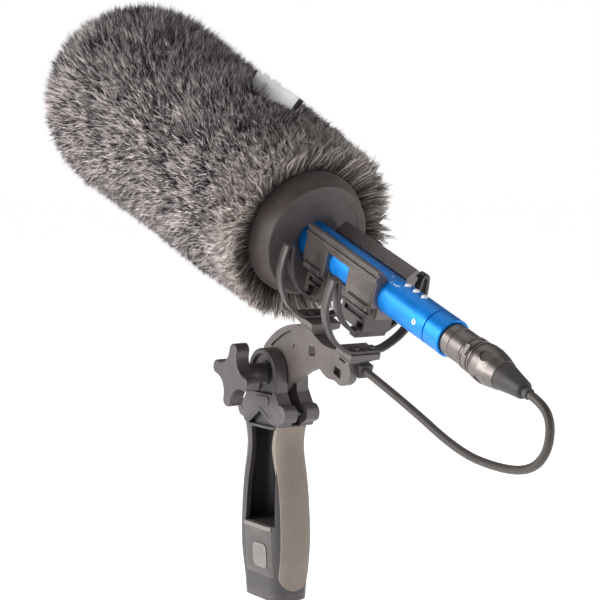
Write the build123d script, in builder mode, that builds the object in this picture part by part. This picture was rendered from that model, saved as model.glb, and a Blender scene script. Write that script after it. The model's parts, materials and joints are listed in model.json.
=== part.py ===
from build123d import *

import math
import os

os.makedirs("parts", exist_ok=True)

# Frame: millimetres, +Z up along the grip, +Y towards the nose of the windscreen, the star knob on
# -X, origin at the mouth of the boom thread in the base of the grip.

# ---------------------------------------------------------------- driving dimensions
PIVOT_Y, PIVOT_Z = -3.0, 137.0  # tilt axis
PITCH = math.radians(20.6)  # nose-up angle of the microphone at rest
MIC_N = 89.3  # height of the microphone axis over the pivot, square to the axis
FIT = 0.05  # running clearance on a radius

# microphone, along its axis t (forward) from the foot of the pivot
MIC_R = 10.5
MIC_WALL = 1.2
MIC_NOSE_T = 109.2
TUBE_T = 20.0
GROOVE_T = -128.4
MIC_TAIL_T = -141.8
BUTTON_T = (-97.5, -105.0, -112.5)
BUTTON_R = 1.7
LED_T, LED_ANGLE = -120.8, -86.0
LED_R = 1.5

# windscreen
COLLAR_BACK_T = -10.8
COLLAR_R = 33.6
COLLAR_FLARE_R = 37.8
FOAM_BACK_T = 3.0
FOAM_R = 36.5
DOME_T = 213.0
BORE_END_T = 109.4
FUR_BACK_R, FUR_MID_R, FUR_NOSE_R = 57.0, 60.0, 65.5
FUR_LIFT, FUR_TILT = 2.0, math.radians(1.2)  # the pile stands higher on the upper outer side
FUR_SIDE = math.radians(31.0)  # the side it leans to, from straight up towards +X
TAG_T, TAG_L, TAG_THICK = 61.0, 56.5, 1.0
TAG_ANGLE = math.radians(28.0)  # the way the tag stands, from straight up towards +X
TAG_OFF_AXIS = 12.0  # the windscreen's axis lies this far behind the plane of the tag
TAG_FOOT_R, TAG_TOP_R = 36.5, 60.5
BINDING_L, BINDING_THICK = 3.0, 0.5
PARTING = 14.0  # how wide the pile parts in front of the tag, at its tips

# connector
PLUG_R = 9.0
NOSE_R = 8.4
RING_T = -157.7
SHELL_T = -166.0
BOOT_T = -184.0
PLUG_END_T = -200.6
PLUG_SHELL_R = 10.2
BOOT_END_R = 4.7
PIN_R, PIN_CIRCLE_R = 1.2, 3.8
LATCH_T, LATCH_ANGLE = -162.0, -62.0
CABLE_R = 2.3
CHUCK_T = -172.0
SLEEVE_R, SLEEVE_SUNK = 3.0, 2.0
EXIT_T = -204.2

# lyre suspension, heights h from the microphone axis
LYRE_T = (-26.2, -73.4)
LYRE_DEPTH = 6.0
STRAND = 2.3
TIP_X, TIP_H, TIP_BEND_R = 30.1, 3.2, 1.9
OUTER_FLAT_H = -40.9
INNER_FLAT_H = -30.1
INNER_FLAT_THICK = 5.2
CRADLE_T0, CRADLE_T1 = -87.5, -17.5
JAW_WALL = 2.6
RAIL_TOP_H, RAIL_X = 14.6, 14.0

# mount bar, heights n over the pivot
BAR_HALF = 2.5
PAD_TOP_N = MIC_N + OUTER_FLAT_H
PAD_HALF_X = 10.0
TONGUE_R = 14.4

# cable clip on the far side of the bar
CLIP_T = (-72.0, -56.5)
CLIP_X, CLIP_N = 6.5, 35.4
CABLE_END_T = -64.3

# clamp head
EAR_R = 14.8
JAW_IN_X, JAW_OUT_X = 3.3, 12.3
BOSS_DY, BOSS_Z, BOSS_R = 20.5, 114.0, 5.5
PIN_BORE_R = 1.6
NOTCH_Z, NOTCH_FOOT_Z, NOTCH_DY = 116.4, 106.0, 18.6
EAR_RIM = 3.4
EAR_SINK = 2.6
BOLT_R = 3.0
KNOB_X0, KNOB_X1 = -34.5, -25.5
KNOB_R, LOBE_TIP_R, KNOB_WAIST_R = 19.6, 4.3, 10.2
HUB_R = 6.0
KNOB_TURN = 14.0

# grip: height, half width in X, half width in Y, corner radius
GRIP = (
    (0.0, 12.6, 20.0, 9.4),
    (11.0, 13.2, 20.8, 9.8),
    (25.0, 14.4, 22.5, 10.7),
    (40.0, 14.8, 23.2, 11.0),
    (54.0, 14.5, 22.8, 10.9),
    (68.0, 13.8, 21.8, 10.4),
    (82.0, 12.5, 19.7, 9.5),
    (93.0, 11.9, 18.4, 9.0),
    (106.0, 12.6, 20.4, 9.4),
)
GRIP_TOP = 106.0
GRIP_WALL = 3.0
FLOOR_Z, WINDOW_TOP_Z = 46.0, 104.0
GROMMET_SPOT, GROMMET_R = (1.0, -8.0), 5.0
WINDOW_Y = -4.0
PAD_HALF = 10.3
PAD_LOW_Z = 16.6
PAD_SINK, PAD_PROUD = 1.2, 0.6
COVER_LOW_Z, COVER_HIGH_Z = 15.4, 43.6
COVER_Y0, COVER_Y1 = -16.7, 11.0
BADGE_SPOT = (-5.4, 27.4)
BADGE_WIDTH, BADGE_HEIGHT, BADGE_CORNER = 14.4, 14.8, 3.4
PANEL_DEPTH = 2.4
CAP_Z = 4.0
THREAD_TAP_R = 3.97
THREAD_DEPTH = 12.0
INSERT_R = 6.5

# ---------------------------------------------------------------- frames
CO, SI = math.cos(PITCH), math.sin(PITCH)
ALONG = Vector(0, CO, SI)
OVER = Vector(0, -SI, CO)
ACROSS = Vector(1, 0, 0)


def at(x, t, n):
    """A point of the tilting head: x across, t along the microphone, n over the pivot."""
    return Vector(x, PIVOT_Y, PIVOT_Z) + ALONG * t + OVER * n


def flank(x=0.0, n=0.0):
    """Upright plane of the head, drawn in (t, height over n), growing towards +X."""
    return Plane(origin=at(x, 0, n), x_dir=ALONG, z_dir=ACROSS)


def section(t):
    """Plane square to the microphone, drawn in (x, h) from its axis, growing to the rear."""
    return Plane(origin=at(0, t, MIC_N), x_dir=ACROSS, z_dir=-ALONG)


def deck(n):
    """Plane parallel to the microphone, drawn in (x, t), growing upwards."""
    return Plane(origin=at(0, 0, n), x_dir=ACROSS, z_dir=OVER)


def radial(t, angle, r):
    """Plane facing outwards at radius r, at this angle from straight up towards +X."""
    out = ACROSS * math.sin(math.radians(angle)) + OVER * math.cos(math.radians(angle))
    return Plane(origin=at(0, t, MIC_N) + out * r, x_dir=ALONG, z_dir=out)


MIC_AXIS = Axis(at(0, 0, MIC_N), ALONG)
LEAN = ACROSS * math.sin(FUR_SIDE) + OVER * math.cos(FUR_SIDE)
FUR_DIR = (ALONG + LEAN * math.tan(FUR_TILT)).normalized()
FUR_POINT = at(0, 0, MIC_N) + LEAN * FUR_LIFT
FUR_AXIS = Axis(FUR_POINT, FUR_DIR)
FUR_UP = FUR_DIR.cross(ACROSS).normalized() * -1
FUR_PLANE = Plane(origin=FUR_POINT, x_dir=FUR_DIR, z_dir=FUR_DIR.cross(FUR_UP) * -1)
TAG_OUT = FUR_DIR.cross(FUR_UP) * math.sin(TAG_ANGLE) + FUR_UP * math.cos(TAG_ANGLE)
TAG_FOOT = FUR_POINT - FUR_DIR.cross(TAG_OUT) * TAG_OFF_AXIS
TAG_PLANE = Plane(origin=TAG_FOOT, x_dir=TAG_OUT, z_dir=FUR_DIR)  # x outwards, y behind the tag


# ---------------------------------------------------------------- helpers
def save(part, name):
    part.part.label = name
    export_step(part.part, f"parts/{name}.step")


def turn(*outline, soften=0.0, mode=Mode.ADD):
    """Revolves a (t, r) outline about the microphone axis."""
    with BuildSketch(flank(n=MIC_N)) as half:
        with BuildLine():
            Polyline(*outline, close=True)
        make_face()
        if soften:
            fillet(half.vertices(), soften)
    revolve(half.sketch, axis=MIC_AXIS, mode=mode)


def tube(t0, t1, outer, inner):
    turn((t0, inner), (t1, inner), (t1, outer), (t0, outer))


def disc(t0, t1, r):
    with BuildSketch(section(t1)) as face:
        Circle(r)
    extrude(face.sketch, amount=t1 - t0)


def prism(plane, *outline, amount, both=False, mode=Mode.ADD, soften=0.0):
    with BuildSketch(plane) as flat:
        with BuildLine():
            Polyline(*outline, close=True)
        make_face()
        if soften:
            fillet(flat.vertices(), soften)
    extrude(flat.sketch, amount=amount, both=both, mode=mode)


def head_box(x, t, n, mode=Mode.ADD):
    """A box of the head between pairs of limits."""
    with BuildSketch(deck(n[0])) as face:
        with Locations(((x[0] + x[1]) / 2, (t[0] + t[1]) / 2)):
            Rectangle(x[1] - x[0], t[1] - t[0])
    extrude(face.sketch, amount=n[1] - n[0], mode=mode)


def rod(x0, x1, y, z, r, mode=Mode.ADD):
    """A round bar along X."""
    with BuildSketch(Plane.YZ.offset(x0)) as face:
        with Locations((y, z)):
            Circle(r)
    extrude(face.sketch, amount=x1 - x0, mode=mode)


def sleeve(x0, x1, y, z, r, hole):
    """A round tube along X."""
    with BuildSketch(Plane.YZ.offset(x0)) as face:
        with Locations((y, z)):
            Circle(r)
            Circle(hole, mode=Mode.SUBTRACT)
    extrude(face.sketch, amount=x1 - x0)


def quarter_dome(r):
    """The round nose in a (t, r) outline, from the cylinder to the axis."""
    ThreePointArc((DOME_T, r), (DOME_T + r * math.sqrt(0.5), r * math.sqrt(0.5)), (DOME_T + r, 0))


def grip_body(grow=0.0, mode=Mode.ADD):
    """The outer shape of the grip, every section grown or shrunk evenly."""
    sections = []
    for z, a, b, corner in GRIP:
        with BuildSketch(Plane.XY.offset(z)) as flat:
            RectangleRounded(2 * (a + grow), 2 * (b + grow), corner + grow)
        sections.append(flat.sketch)
    loft(sections, mode=mode)


def pad_outline(plane, amount, mode):
    """A long strip with a round lower end, as seen from the back of the grip."""
    with BuildSketch(plane) as face:
        with Locations((0, PAD_LOW_Z)):
            Circle(PAD_HALF)
        with Locations((0, (PAD_LOW_Z + GRIP_TOP + 2) / 2)):
            Rectangle(2 * PAD_HALF, GRIP_TOP + 2 - PAD_LOW_Z)
    extrude(face.sketch, amount=amount, mode=mode)


# ================================================================ windscreen
with BuildPart() as end_collar:
    with BuildSketch(flank(n=MIC_N)):
        with BuildLine():
            Polyline(
                (COLLAR_BACK_T + 3.8, MIC_R + FIT),
                (FOAM_BACK_T, MIC_R + FIT),
                (FOAM_BACK_T, COLLAR_FLARE_R),
                (1.0, COLLAR_FLARE_R),
            )
            Spline(
                (1.0, COLLAR_FLARE_R),
                (-5.5, COLLAR_R + 1.9),
                (COLLAR_BACK_T + 1.2, COLLAR_R),
                tangents=((-1.0, -0.15), (-1.0, -0.25)),
            )
            ThreePointArc(
                (COLLAR_BACK_T + 1.2, COLLAR_R),
                (COLLAR_BACK_T + 0.3, COLLAR_R - 0.4),
                (COLLAR_BACK_T, COLLAR_R - 1.2),
            )
            Polyline(
                (COLLAR_BACK_T, COLLAR_R - 1.2),
                (COLLAR_BACK_T + 0.8, 24.0),
                (COLLAR_BACK_T + 1.3, 15.4),
                (COLLAR_BACK_T + 3.8, MIC_R + FIT),
            )
        make_face()
    revolve(axis=MIC_AXIS)
    turn(
        (COLLAR_BACK_T + 0.2, COLLAR_R - 4.6),
        (COLLAR_BACK_T + 1.2, COLLAR_R - 4.6),
        (COLLAR_BACK_T + 1.2, COLLAR_R - 5.2),
        (COLLAR_BACK_T + 0.2, COLLAR_R - 5.2),
    )
save(end_collar, "end_collar")

with BuildPart() as foam_core:
    with BuildSketch(flank(n=MIC_N)):
        with BuildLine():
            Line((FOAM_BACK_T, MIC_R + FIT), (BORE_END_T, MIC_R + FIT))
            Line((BORE_END_T, MIC_R + FIT), (BORE_END_T, 0))
            Line((BORE_END_T, 0), (DOME_T + FOAM_R, 0))
            quarter_dome(FOAM_R)
            Line((DOME_T, FOAM_R), (FOAM_BACK_T, FOAM_R))
            Line((FOAM_BACK_T, FOAM_R), (FOAM_BACK_T, MIC_R + FIT))
        make_face()
    revolve(axis=MIC_AXIS)
save(foam_core, "foam_core")

with BuildPart() as fur_cover:
    with BuildSketch(FUR_PLANE):
        with BuildLine():
            Line((0.6, 0), (0.6, FUR_BACK_R - 6))
            Spline((0.6, FUR_BACK_R - 6), (6, FUR_BACK_R), tangents=((0, 1), (1, 0.02)))
            Line((6, FUR_BACK_R), (TAG_T - 9, FUR_MID_R))
            Line((TAG_T - 9, FUR_MID_R), (TAG_T + TAG_L + 2, FUR_MID_R))
            Line((TAG_T + TAG_L + 2, FUR_MID_R), (DOME_T, FUR_NOSE_R))
            quarter_dome(FUR_NOSE_R)
            Line((DOME_T + FUR_NOSE_R, 0), (0.6, 0))
        make_face()
    revolve(axis=FUR_AXIS)
    with BuildSketch(flank(n=MIC_N)):
        with BuildLine():
            Polyline(
                (-20, 0),
                (-20, COLLAR_FLARE_R + 0.2),
                (FOAM_BACK_T, COLLAR_FLARE_R + 0.2),
                (FOAM_BACK_T, FOAM_R),
                (DOME_T, FOAM_R),
            )
            quarter_dome(FOAM_R)
            Line((DOME_T + FOAM_R, 0), (-20, 0))
        make_face()
    revolve(axis=MIC_AXIS, mode=Mode.SUBTRACT)
    # The tag's seam, with the pile parted in front of the tag so that its face shows.
    with BuildSketch(TAG_PLANE.offset(TAG_T)):
        with BuildLine():
            Polyline(
                (TAG_FOOT_R, TAG_THICK / 2),
                (TAG_TOP_R + 6, TAG_THICK / 2),
                (TAG_TOP_R + 6, -PARTING),
                (TAG_FOOT_R, -TAG_THICK / 2 - BINDING_THICK),
                close=True,
            )
        make_face()
    extrude(amount=TAG_L, mode=Mode.SUBTRACT)
save(fur_cover, "fur_cover")


def tag_slab(t0, t1, back, front):
    """A slab of the standing tag between two stations, and between two distances behind its middle."""
    with BuildSketch(TAG_PLANE.offset(t0)) as section:
        with Locations(((TAG_FOOT_R + TAG_TOP_R) / 2, (back + front) / 2)):
            Rectangle(TAG_TOP_R - TAG_FOOT_R, back - front)
    extrude(section.sketch, amount=t1 - t0)


with BuildPart() as fabric_tag:
    tag_slab(TAG_T, TAG_T + TAG_L, TAG_THICK / 2, -TAG_THICK / 2)
save(fabric_tag, "fabric_tag")

with BuildPart() as tag_bindings:
    for t0 in (TAG_T, TAG_T + TAG_L - BINDING_L):
        tag_slab(t0, t0 + BINDING_L, -TAG_THICK / 2, -TAG_THICK / 2 - BINDING_THICK)
save(tag_bindings, "tag_bindings")

# ================================================================ microphone
INNER_R = MIC_R - MIC_WALL

with BuildPart() as mic_tube:
    tube(TUBE_T, MIC_NOSE_T - 5.0, MIC_R, INNER_R)
    for row in range(4):
        for column in range(6):
            with BuildSketch(radial(34.0 + 18.0 * row, 60.0 * column, INNER_R - 1.0)):
                SlotOverall(12.0, 2.2)
            extrude(amount=4.0, mode=Mode.SUBTRACT)
save(mic_tube, "mic_tube")

with BuildPart() as mic_nose:
    turn(
        (MIC_NOSE_T - 9.0, 0),
        (MIC_NOSE_T, 0),
        (MIC_NOSE_T, MIC_R - 1.0),
        (MIC_NOSE_T - 1.0, MIC_R),
        (MIC_NOSE_T - 5.0, MIC_R),
        (MIC_NOSE_T - 5.0, INNER_R),
        (MIC_NOSE_T - 9.0, INNER_R),
    )
save(mic_nose, "mic_nose")

with BuildPart() as mic_capsule:
    disc(TUBE_T + 1.0, TUBE_T + 9.0, INNER_R)
save(mic_capsule, "mic_capsule")

with BuildPart() as mic_body:
    tube(GROOVE_T, TUBE_T, MIC_R, INNER_R)
    for t in BUTTON_T:
        with BuildSketch(radial(t, 0, MIC_R - 3.0)):
            Circle(BUTTON_R + FIT)
        extrude(amount=4.0, mode=Mode.SUBTRACT)
    with BuildSketch(radial(LED_T, LED_ANGLE, MIC_R - 3.0)):
        Circle(LED_R)
    extrude(amount=4.0, mode=Mode.SUBTRACT)
save(mic_body, "mic_body")

with BuildPart() as mic_rear_section:
    turn(
        (MIC_TAIL_T, INNER_R),
        (GROOVE_T + 5.0, INNER_R - 1.2),
        (GROOVE_T + 5.0, INNER_R),
        (GROOVE_T, INNER_R),
        (GROOVE_T, MIC_R - 0.7),
        (GROOVE_T - 0.9, MIC_R - 0.7),
        (GROOVE_T - 0.9, MIC_R),
        (MIC_TAIL_T + 0.4, MIC_R),
        (MIC_TAIL_T, MIC_R - 0.4),
    )
save(mic_rear_section, "mic_rear_section")

BOARD_TOP_H = 1.0
with BuildPart() as circuit_board:
    head_box((-9.2, 9.2), (-118.5, 12.0), (MIC_N + BOARD_TOP_H - 1.6, MIC_N + BOARD_TOP_H))
save(circuit_board, "circuit_board")

with BuildPart() as button_switches:
    for t in BUTTON_T:
        head_box((-2.4, 2.4), (t - 2.4, t + 2.4), (MIC_N + BOARD_TOP_H, MIC_N + 7.6))
save(button_switches, "button_switches")

BUTTON_TRAVEL = 0.5
for number, t in enumerate(BUTTON_T, 1):
    with BuildPart() as button:
        with BuildSketch(radial(t, 0, 7.6 + BUTTON_TRAVEL + 0.1)):
            Circle(BUTTON_R)
        extrude(amount=MIC_R + 0.8 - 7.6 - BUTTON_TRAVEL - 0.1)
        chamfer(button.faces().sort_by(Axis(at(0, 0, 0), OVER))[-1].edges(), 0.25)
    save(button, f"button_{number}")

with BuildPart() as led_bezel:
    with BuildSketch(radial(LED_T, LED_ANGLE, MIC_R - 1.5)):
        Circle(LED_R)
        Circle(0.75, mode=Mode.SUBTRACT)
    extrude(amount=1.8)
save(led_bezel, "led_bezel")

with BuildPart() as led_lens:
    with BuildSketch(radial(LED_T, LED_ANGLE, MIC_R - 1.5)):
        Circle(0.75)
    extrude(amount=1.6)
save(led_lens, "led_lens")

PIN_SPOTS = [(PIN_CIRCLE_R * math.cos(a), PIN_CIRCLE_R * math.sin(a)) for a in (0, math.pi, -math.pi / 2)]
PIN_DISC_T = GROOVE_T - 0.5

with BuildPart() as mic_pin_disc:
    with BuildSketch(section(PIN_DISC_T + 3.0)):
        Circle(INNER_R - 1.3)
        with Locations(*PIN_SPOTS):
            Circle(PIN_R, mode=Mode.SUBTRACT)
    extrude(amount=3.0)
save(mic_pin_disc, "mic_pin_disc")

with BuildPart() as mic_pins:
    with BuildSketch(section(PIN_DISC_T + 3.0)):
        with Locations(*PIN_SPOTS):
            Circle(PIN_R)
    extrude(amount=13.0)
save(mic_pins, "mic_pins")

# ================================================================ connector
with BuildPart() as plug_shell:
    turn(
        (MIC_TAIL_T + 9.5, NOSE_R - 1.2),
        (MIC_TAIL_T + 9.5, NOSE_R),
        (MIC_TAIL_T, NOSE_R),
        (MIC_TAIL_T, PLUG_R - 0.5),
        (MIC_TAIL_T - 0.5, PLUG_R),
        (MIC_TAIL_T - 6.0, PLUG_R),
        (MIC_TAIL_T - 6.4, PLUG_R - 0.35),
        (MIC_TAIL_T - 6.9, PLUG_R - 0.35),
        (MIC_TAIL_T - 7.3, PLUG_R),
        (RING_T, PLUG_R),
        (RING_T, NOSE_R - 1.2),
    )
save(plug_shell, "plug_shell")

with BuildPart() as plug_sockets:
    with BuildSketch(section(MIC_TAIL_T + 9.0)):
        Circle(NOSE_R - 1.2)
        with Locations(*PIN_SPOTS):
            Circle(PIN_R + FIT, mode=Mode.SUBTRACT)
    extrude(amount=MIC_TAIL_T + 9.0 - (RING_T + 4.0))
save(plug_sockets, "plug_sockets")

with BuildPart() as plug_rings:
    turn(
        (RING_T, 6.4),
        (RING_T, PLUG_R + 0.1),
        (RING_T - 1.2, PLUG_R + 0.5),
        (RING_T - 2.0, PLUG_R + 0.5),
        (RING_T - 2.2, PLUG_R),
        (RING_T - 2.8, PLUG_R),
        (RING_T - 3.0, PLUG_R + 0.6),
        (RING_T - 6.4, PLUG_R + 0.6),
        (RING_T - 6.6, PLUG_R),
        (RING_T - 7.2, PLUG_R),
        (RING_T - 7.4, PLUG_R + 0.5),
        (SHELL_T, PLUG_R + 0.5),
        (SHELL_T, 6.4),
    )
    with BuildSketch(radial(LATCH_T, LATCH_ANGLE, 7.2)):
        RectangleRounded(2.9 + 2 * FIT, 6.0 + 2 * FIT, 0.8)
    extrude(amount=4.0, mode=Mode.SUBTRACT)
save(plug_rings, "plug_rings")

with BuildPart() as plug_latch:
    with BuildSketch(radial(LATCH_T, LATCH_ANGLE, 7.9)):
        RectangleRounded(2.9, 6.0, 0.8)
    extrude(amount=2.2)
save(plug_latch, "plug_latch")

with BuildPart() as plug_backshell:
    turn(
        (SHELL_T, 6.4),
        (SHELL_T, PLUG_SHELL_R - 1.1),
        (SHELL_T - 0.5, PLUG_SHELL_R - 1.1),
        (SHELL_T - 1.4, PLUG_SHELL_R - 0.2),
        (SHELL_T - 3.0, PLUG_SHELL_R),
        (SHELL_T - 8.0, PLUG_SHELL_R),
        (SHELL_T - 13.0, PLUG_SHELL_R - 0.9),
        (BOOT_T, PLUG_SHELL_R - 2.2),
        (BOOT_T, 6.0),
        (SHELL_T - 12.0, 6.4),
    )
    for column in range(4):
        with BuildSketch(radial(BOOT_T, LATCH_ANGLE + 20.0 + 90.0 * column, PLUG_SHELL_R - 0.85)):
            Ellipse(13.0, 5.0)
        extrude(amount=3.0, mode=Mode.SUBTRACT)
save(plug_backshell, "plug_backshell")

with BuildPart() as plug_boot:
    turn(
        (BOOT_T + 6.0, 5.0),
        (BOOT_T + 6.0, 6.0),
        (BOOT_T, 6.0),
        (BOOT_T, PLUG_SHELL_R - 2.5),
        (BOOT_T - 7.0, PLUG_SHELL_R - 3.9),
        (PLUG_END_T + 0.8, BOOT_END_R + 0.1),
        (PLUG_END_T, BOOT_END_R - 0.5),
        (PLUG_END_T, SLEEVE_R),
        (PLUG_END_T + SLEEVE_SUNK, SLEEVE_R),
        (PLUG_END_T + SLEEVE_SUNK, CABLE_R),
        (BOOT_T - 2.0, CABLE_R),
        (BOOT_T, 5.0),
    )
save(plug_boot, "plug_boot")

with BuildPart() as cable_chuck:
    tube(CHUCK_T - 5.0, CHUCK_T + 1.0, 6.0, CABLE_R)
    for gap in (0.0, 90.0):
        with BuildSketch(radial(CHUCK_T - 4.0, gap, -8.0)):
            Rectangle(3.0, 0.8)
        extrude(amount=16.0, mode=Mode.SUBTRACT)
save(cable_chuck, "cable_chuck")

with BuildPart() as chuck_collar:
    tube(CHUCK_T - 4.0, CHUCK_T, 6.4, 6.0)
save(chuck_collar, "chuck_collar")

with BuildPart() as cable_tail:
    disc(EXIT_T, CHUCK_T, CABLE_R)
save(cable_tail, "cable_tail")

# The cord drops from the boot in one loop and runs back under the microphone into its clip.
CABLE_ROUTE = [
    at(0.0, EXIT_T, MIC_N),
    at(0.0, -214.6, MIC_N),
    at(0.5, -222.8, 82.4),
    at(1.1, -224.8, 67.6),
    at(1.9, -217.0, 53.8),
    at(3.0, -197.0, 43.0),
    at(4.9, -163.0, 33.4),
    at(CLIP_X, -111.0, CLIP_N),
    at(CLIP_X, CABLE_END_T, CLIP_N),
]
BEND_SHARE = 0.45
runs = [after - before for before, after in zip(CABLE_ROUTE, CABLE_ROUTE[1:])]
bends = [
    BEND_SHARE * min(a.length, b.length) / math.tan(math.radians(a.get_angle(b)) / 2)
    for a, b in zip(runs, runs[1:])
]

with BuildPart() as cable:
    with BuildLine() as cable_line:
        FilletPolyline(*CABLE_ROUTE, radius=bends)
    with BuildSketch(Plane(origin=CABLE_ROUTE[0], x_dir=ACROSS, z_dir=-ALONG)):
        Circle(CABLE_R)
    sweep()
save(cable, "cable")
cable_length = sum(edge.length for edge in cable_line.line.edges())
print("cable radii", [round(r, 1) for r in bends], "length", round(cable_length, 1))
print("cable volume over section times length", cable.part.volume / (cable_length * math.pi * CABLE_R**2))

with BuildPart() as cable_sleeve:
    tube(EXIT_T, PLUG_END_T + SLEEVE_SUNK, SLEEVE_R, CABLE_R)
save(cable_sleeve, "cable_sleeve")

# ================================================================ cradle
WINDOW_T = (-61.2, -39.4)
LUG_T = ((-83.0, -64.0), (-36.0, -20.0))


def outward(side, inner, outer):
    """Limits in x, lowest first, of something on the -X or +X side."""
    return tuple(sorted((side * inner, side * outer)))


def cradle_jaw(side):
    """One side of the clip that hugs the microphone, on the -X or +X side."""
    wall_r = MIC_R + JAW_WALL
    with BuildSketch(section(CRADLE_T1)) as face:
        with BuildLine():
            Polyline(
                (side * 2.0, -wall_r - 1.0),
                (side * 8.4, -wall_r - 1.0),
                (side * 11.4, -10.4),
                (side * 12.8, -6.0),
                (side * wall_r, -2.0),
                (side * wall_r, 7.4),
                (side * RAIL_X, 8.4),
                (side * RAIL_X, RAIL_TOP_H - 0.8),
                (side * (RAIL_X - 1.0), RAIL_TOP_H),
                (side * (RAIL_X - 2.4), RAIL_TOP_H),
                (side * 6.2, 10.3),
                (side * 6.2, 0.0),
                (side * 2.0, 0.0),
                close=True,
            )
        make_face()
        Circle(MIC_R, mode=Mode.SUBTRACT)
    extrude(face.sketch, amount=CRADLE_T1 - CRADLE_T0)
    for t0, t1 in LUG_T:
        head_box(outward(side, 9.8, 13.9), (t0, t1), (MIC_N - 10.6, MIC_N - 7.4))
    head_box(outward(side, 6.0, 20.0), WINDOW_T, (MIC_N - 8.4, MIC_N + 5.6), mode=Mode.SUBTRACT)
    head_box(
        outward(side, RAIL_X - 1.2, 20.0),
        (CRADLE_T0 - 1, CRADLE_T1 + 1),
        (MIC_N + 10.4, MIC_N + 12.4),
        mode=Mode.SUBTRACT,
    )
    for t0, t1 in ((-59.0, -38.0), (CRADLE_T0 - 1.0, -84.0)):
        head_box(outward(side, 8.0, 20.0), (t0, t1), (MIC_N - 20.0, MIC_N - 7.0), mode=Mode.SUBTRACT)


with BuildPart() as cradle_left:
    cradle_jaw(-1)
save(cradle_left, "cradle_left")

with BuildPart() as cradle_right:
    cradle_jaw(1)
save(cradle_right, "cradle_right")

with BuildPart() as cradle_spine:
    head_box((-2.0, 2.0), (CRADLE_T0, CRADLE_T1), (MIC_N - MIC_R - JAW_WALL - 1.0, MIC_N - 8.0))
    turn(
        (CRADLE_T0 - 1, 0),
        (CRADLE_T1 + 1, 0),
        (CRADLE_T1 + 1, MIC_R),
        (CRADLE_T0 - 1, MIC_R),
        mode=Mode.SUBTRACT,
    )
save(cradle_spine, "cradle_spine")

SADDLE_TOP_H = -MIC_R - JAW_WALL - 1.0
SADDLE_LOW_H = INNER_FLAT_H + INNER_FLAT_THICK


def saddle(t0, t1, eye_t):
    """The box between the clip and the inner flat of a lyre, hollow on each side, with an eye."""
    head_box((-9.4, 9.4), (t0, t1), (MIC_N + SADDLE_LOW_H, MIC_N + SADDLE_TOP_H))
    for side in (-1, 1):
        head_box(
            outward(side, 7.4, 12.0),
            (t0 + 2.5, t1 - 2.5),
            (MIC_N - 18.6, MIC_N + SADDLE_TOP_H - 1.6),
            mode=Mode.SUBTRACT,
        )
    head_box(
        (-12.0, 12.0),
        (eye_t - 2.6, eye_t + 2.6),
        (MIC_N - 23.4, MIC_N - 20.4),
        mode=Mode.SUBTRACT,
    )


with BuildPart() as front_saddle:
    saddle(LYRE_T[0] - 11.0, LYRE_T[0] + 6.0, LYRE_T[0])
save(front_saddle, "front_saddle")

with BuildPart() as rear_saddle:
    saddle(LYRE_T[1] - 7.0, LYRE_T[1] + 16.0, LYRE_T[1] - 3.0)
save(rear_saddle, "rear_saddle")

# ================================================================ lyres
OUTER_ARM = [(-32.9, -4.0), (-32.7, -12.5), (-29.4, -21.8), (-23.4, -31.0), (-15.0, -37.6)]
INNER_ARM = [(-27.7, -2.0), (-26.3, -7.5), (-23.2, -15.0), (-17.2, -22.4)]
OUTER_MID_H = OUTER_FLAT_H + STRAND / 2
INNER_MID_H = INNER_FLAT_H + STRAND / 2 + 0.7


def lyre(t):
    """Two folded strands a side, from the flat on the bar up to a tight bend and back."""
    with BuildSketch(section(t + LYRE_DEPTH / 2)) as face:
        for side in (-1, 1):
            with BuildLine():
                outer = [(0.0, OUTER_MID_H), (side * 9.0, OUTER_MID_H)]
                outer_bend = [(-side * x, h) for x, h in reversed(OUTER_ARM)]
                tip_out = (side * (TIP_X + TIP_BEND_R), TIP_H)
                tip_in = (side * (TIP_X - TIP_BEND_R), TIP_H)
                inner_bend = [(-side * x, h) for x, h in INNER_ARM]
                inner_end = (side * 9.0, INNER_MID_H)
                Line(*outer)
                Spline(
                    outer[1],
                    *outer_bend,
                    tip_out,
                    tangents=((side, 0), (0, 1)),
                )
                ThreePointArc(tip_out, (side * TIP_X, TIP_H + TIP_BEND_R), tip_in)
                Spline(tip_in, *inner_bend, inner_end, tangents=((0, -1), (-side, 0)))
            trace(line_width=STRAND)
        with Locations((0, INNER_FLAT_H + INNER_FLAT_THICK / 2)):
            Rectangle(20.4, INNER_FLAT_THICK)
    extrude(face.sketch, amount=LYRE_DEPTH)


with BuildPart() as front_lyre:
    lyre(LYRE_T[0])
save(front_lyre, "front_lyre")

with BuildPart() as rear_lyre:
    lyre(LYRE_T[1])
save(rear_lyre, "rear_lyre")

with BuildPart() as lyre_pins:
    for t in LYRE_T:
        for x in (-5.5, 5.5):
            with BuildSketch(deck(PAD_TOP_N + STRAND)):
                with Locations((x, t)):
                    Circle(1.9)
            extrude(amount=1.3)
save(lyre_pins, "lyre_pins")

# ================================================================ mount bar
SADDLE_ARC = [(-22.5, 42.2), (-31.0, 38.3), (-40.4, 37.4), (-52.5, 40.0), (-62.4, 43.2)]
FRONT_PAD_T = (-36.0, -15.5)
REAR_PAD_T = (-77.0, -62.0)
PAD_THICK = 3.4

BAR_TAIL = [
    (-41.7, 22.7),
    (-46.4, 21.5),
    (-51.9, 21.3),
    (-57.4, 22.9),
    (-62.6, 22.6),
    (-67.4, 25.0),
    (-70.3, 29.6),
]
BAR_SHOULDER = [(-14.8, 37.4), (-9.1, 35.6), (-1.6, 31.3), (5.4, 25.4), (11.7, 17.6), (16.2, 9.6)]
GROOVE_OUTER = [(-7.4, 31.0), (-1.4, 26.4), (4.4, 20.2), (9.6, 13.6)]
GROOVE_INNER = [(-7.8, 29.4), (-2.4, 24.6), (3.0, 18.8), (8.0, 13.2)]


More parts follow.
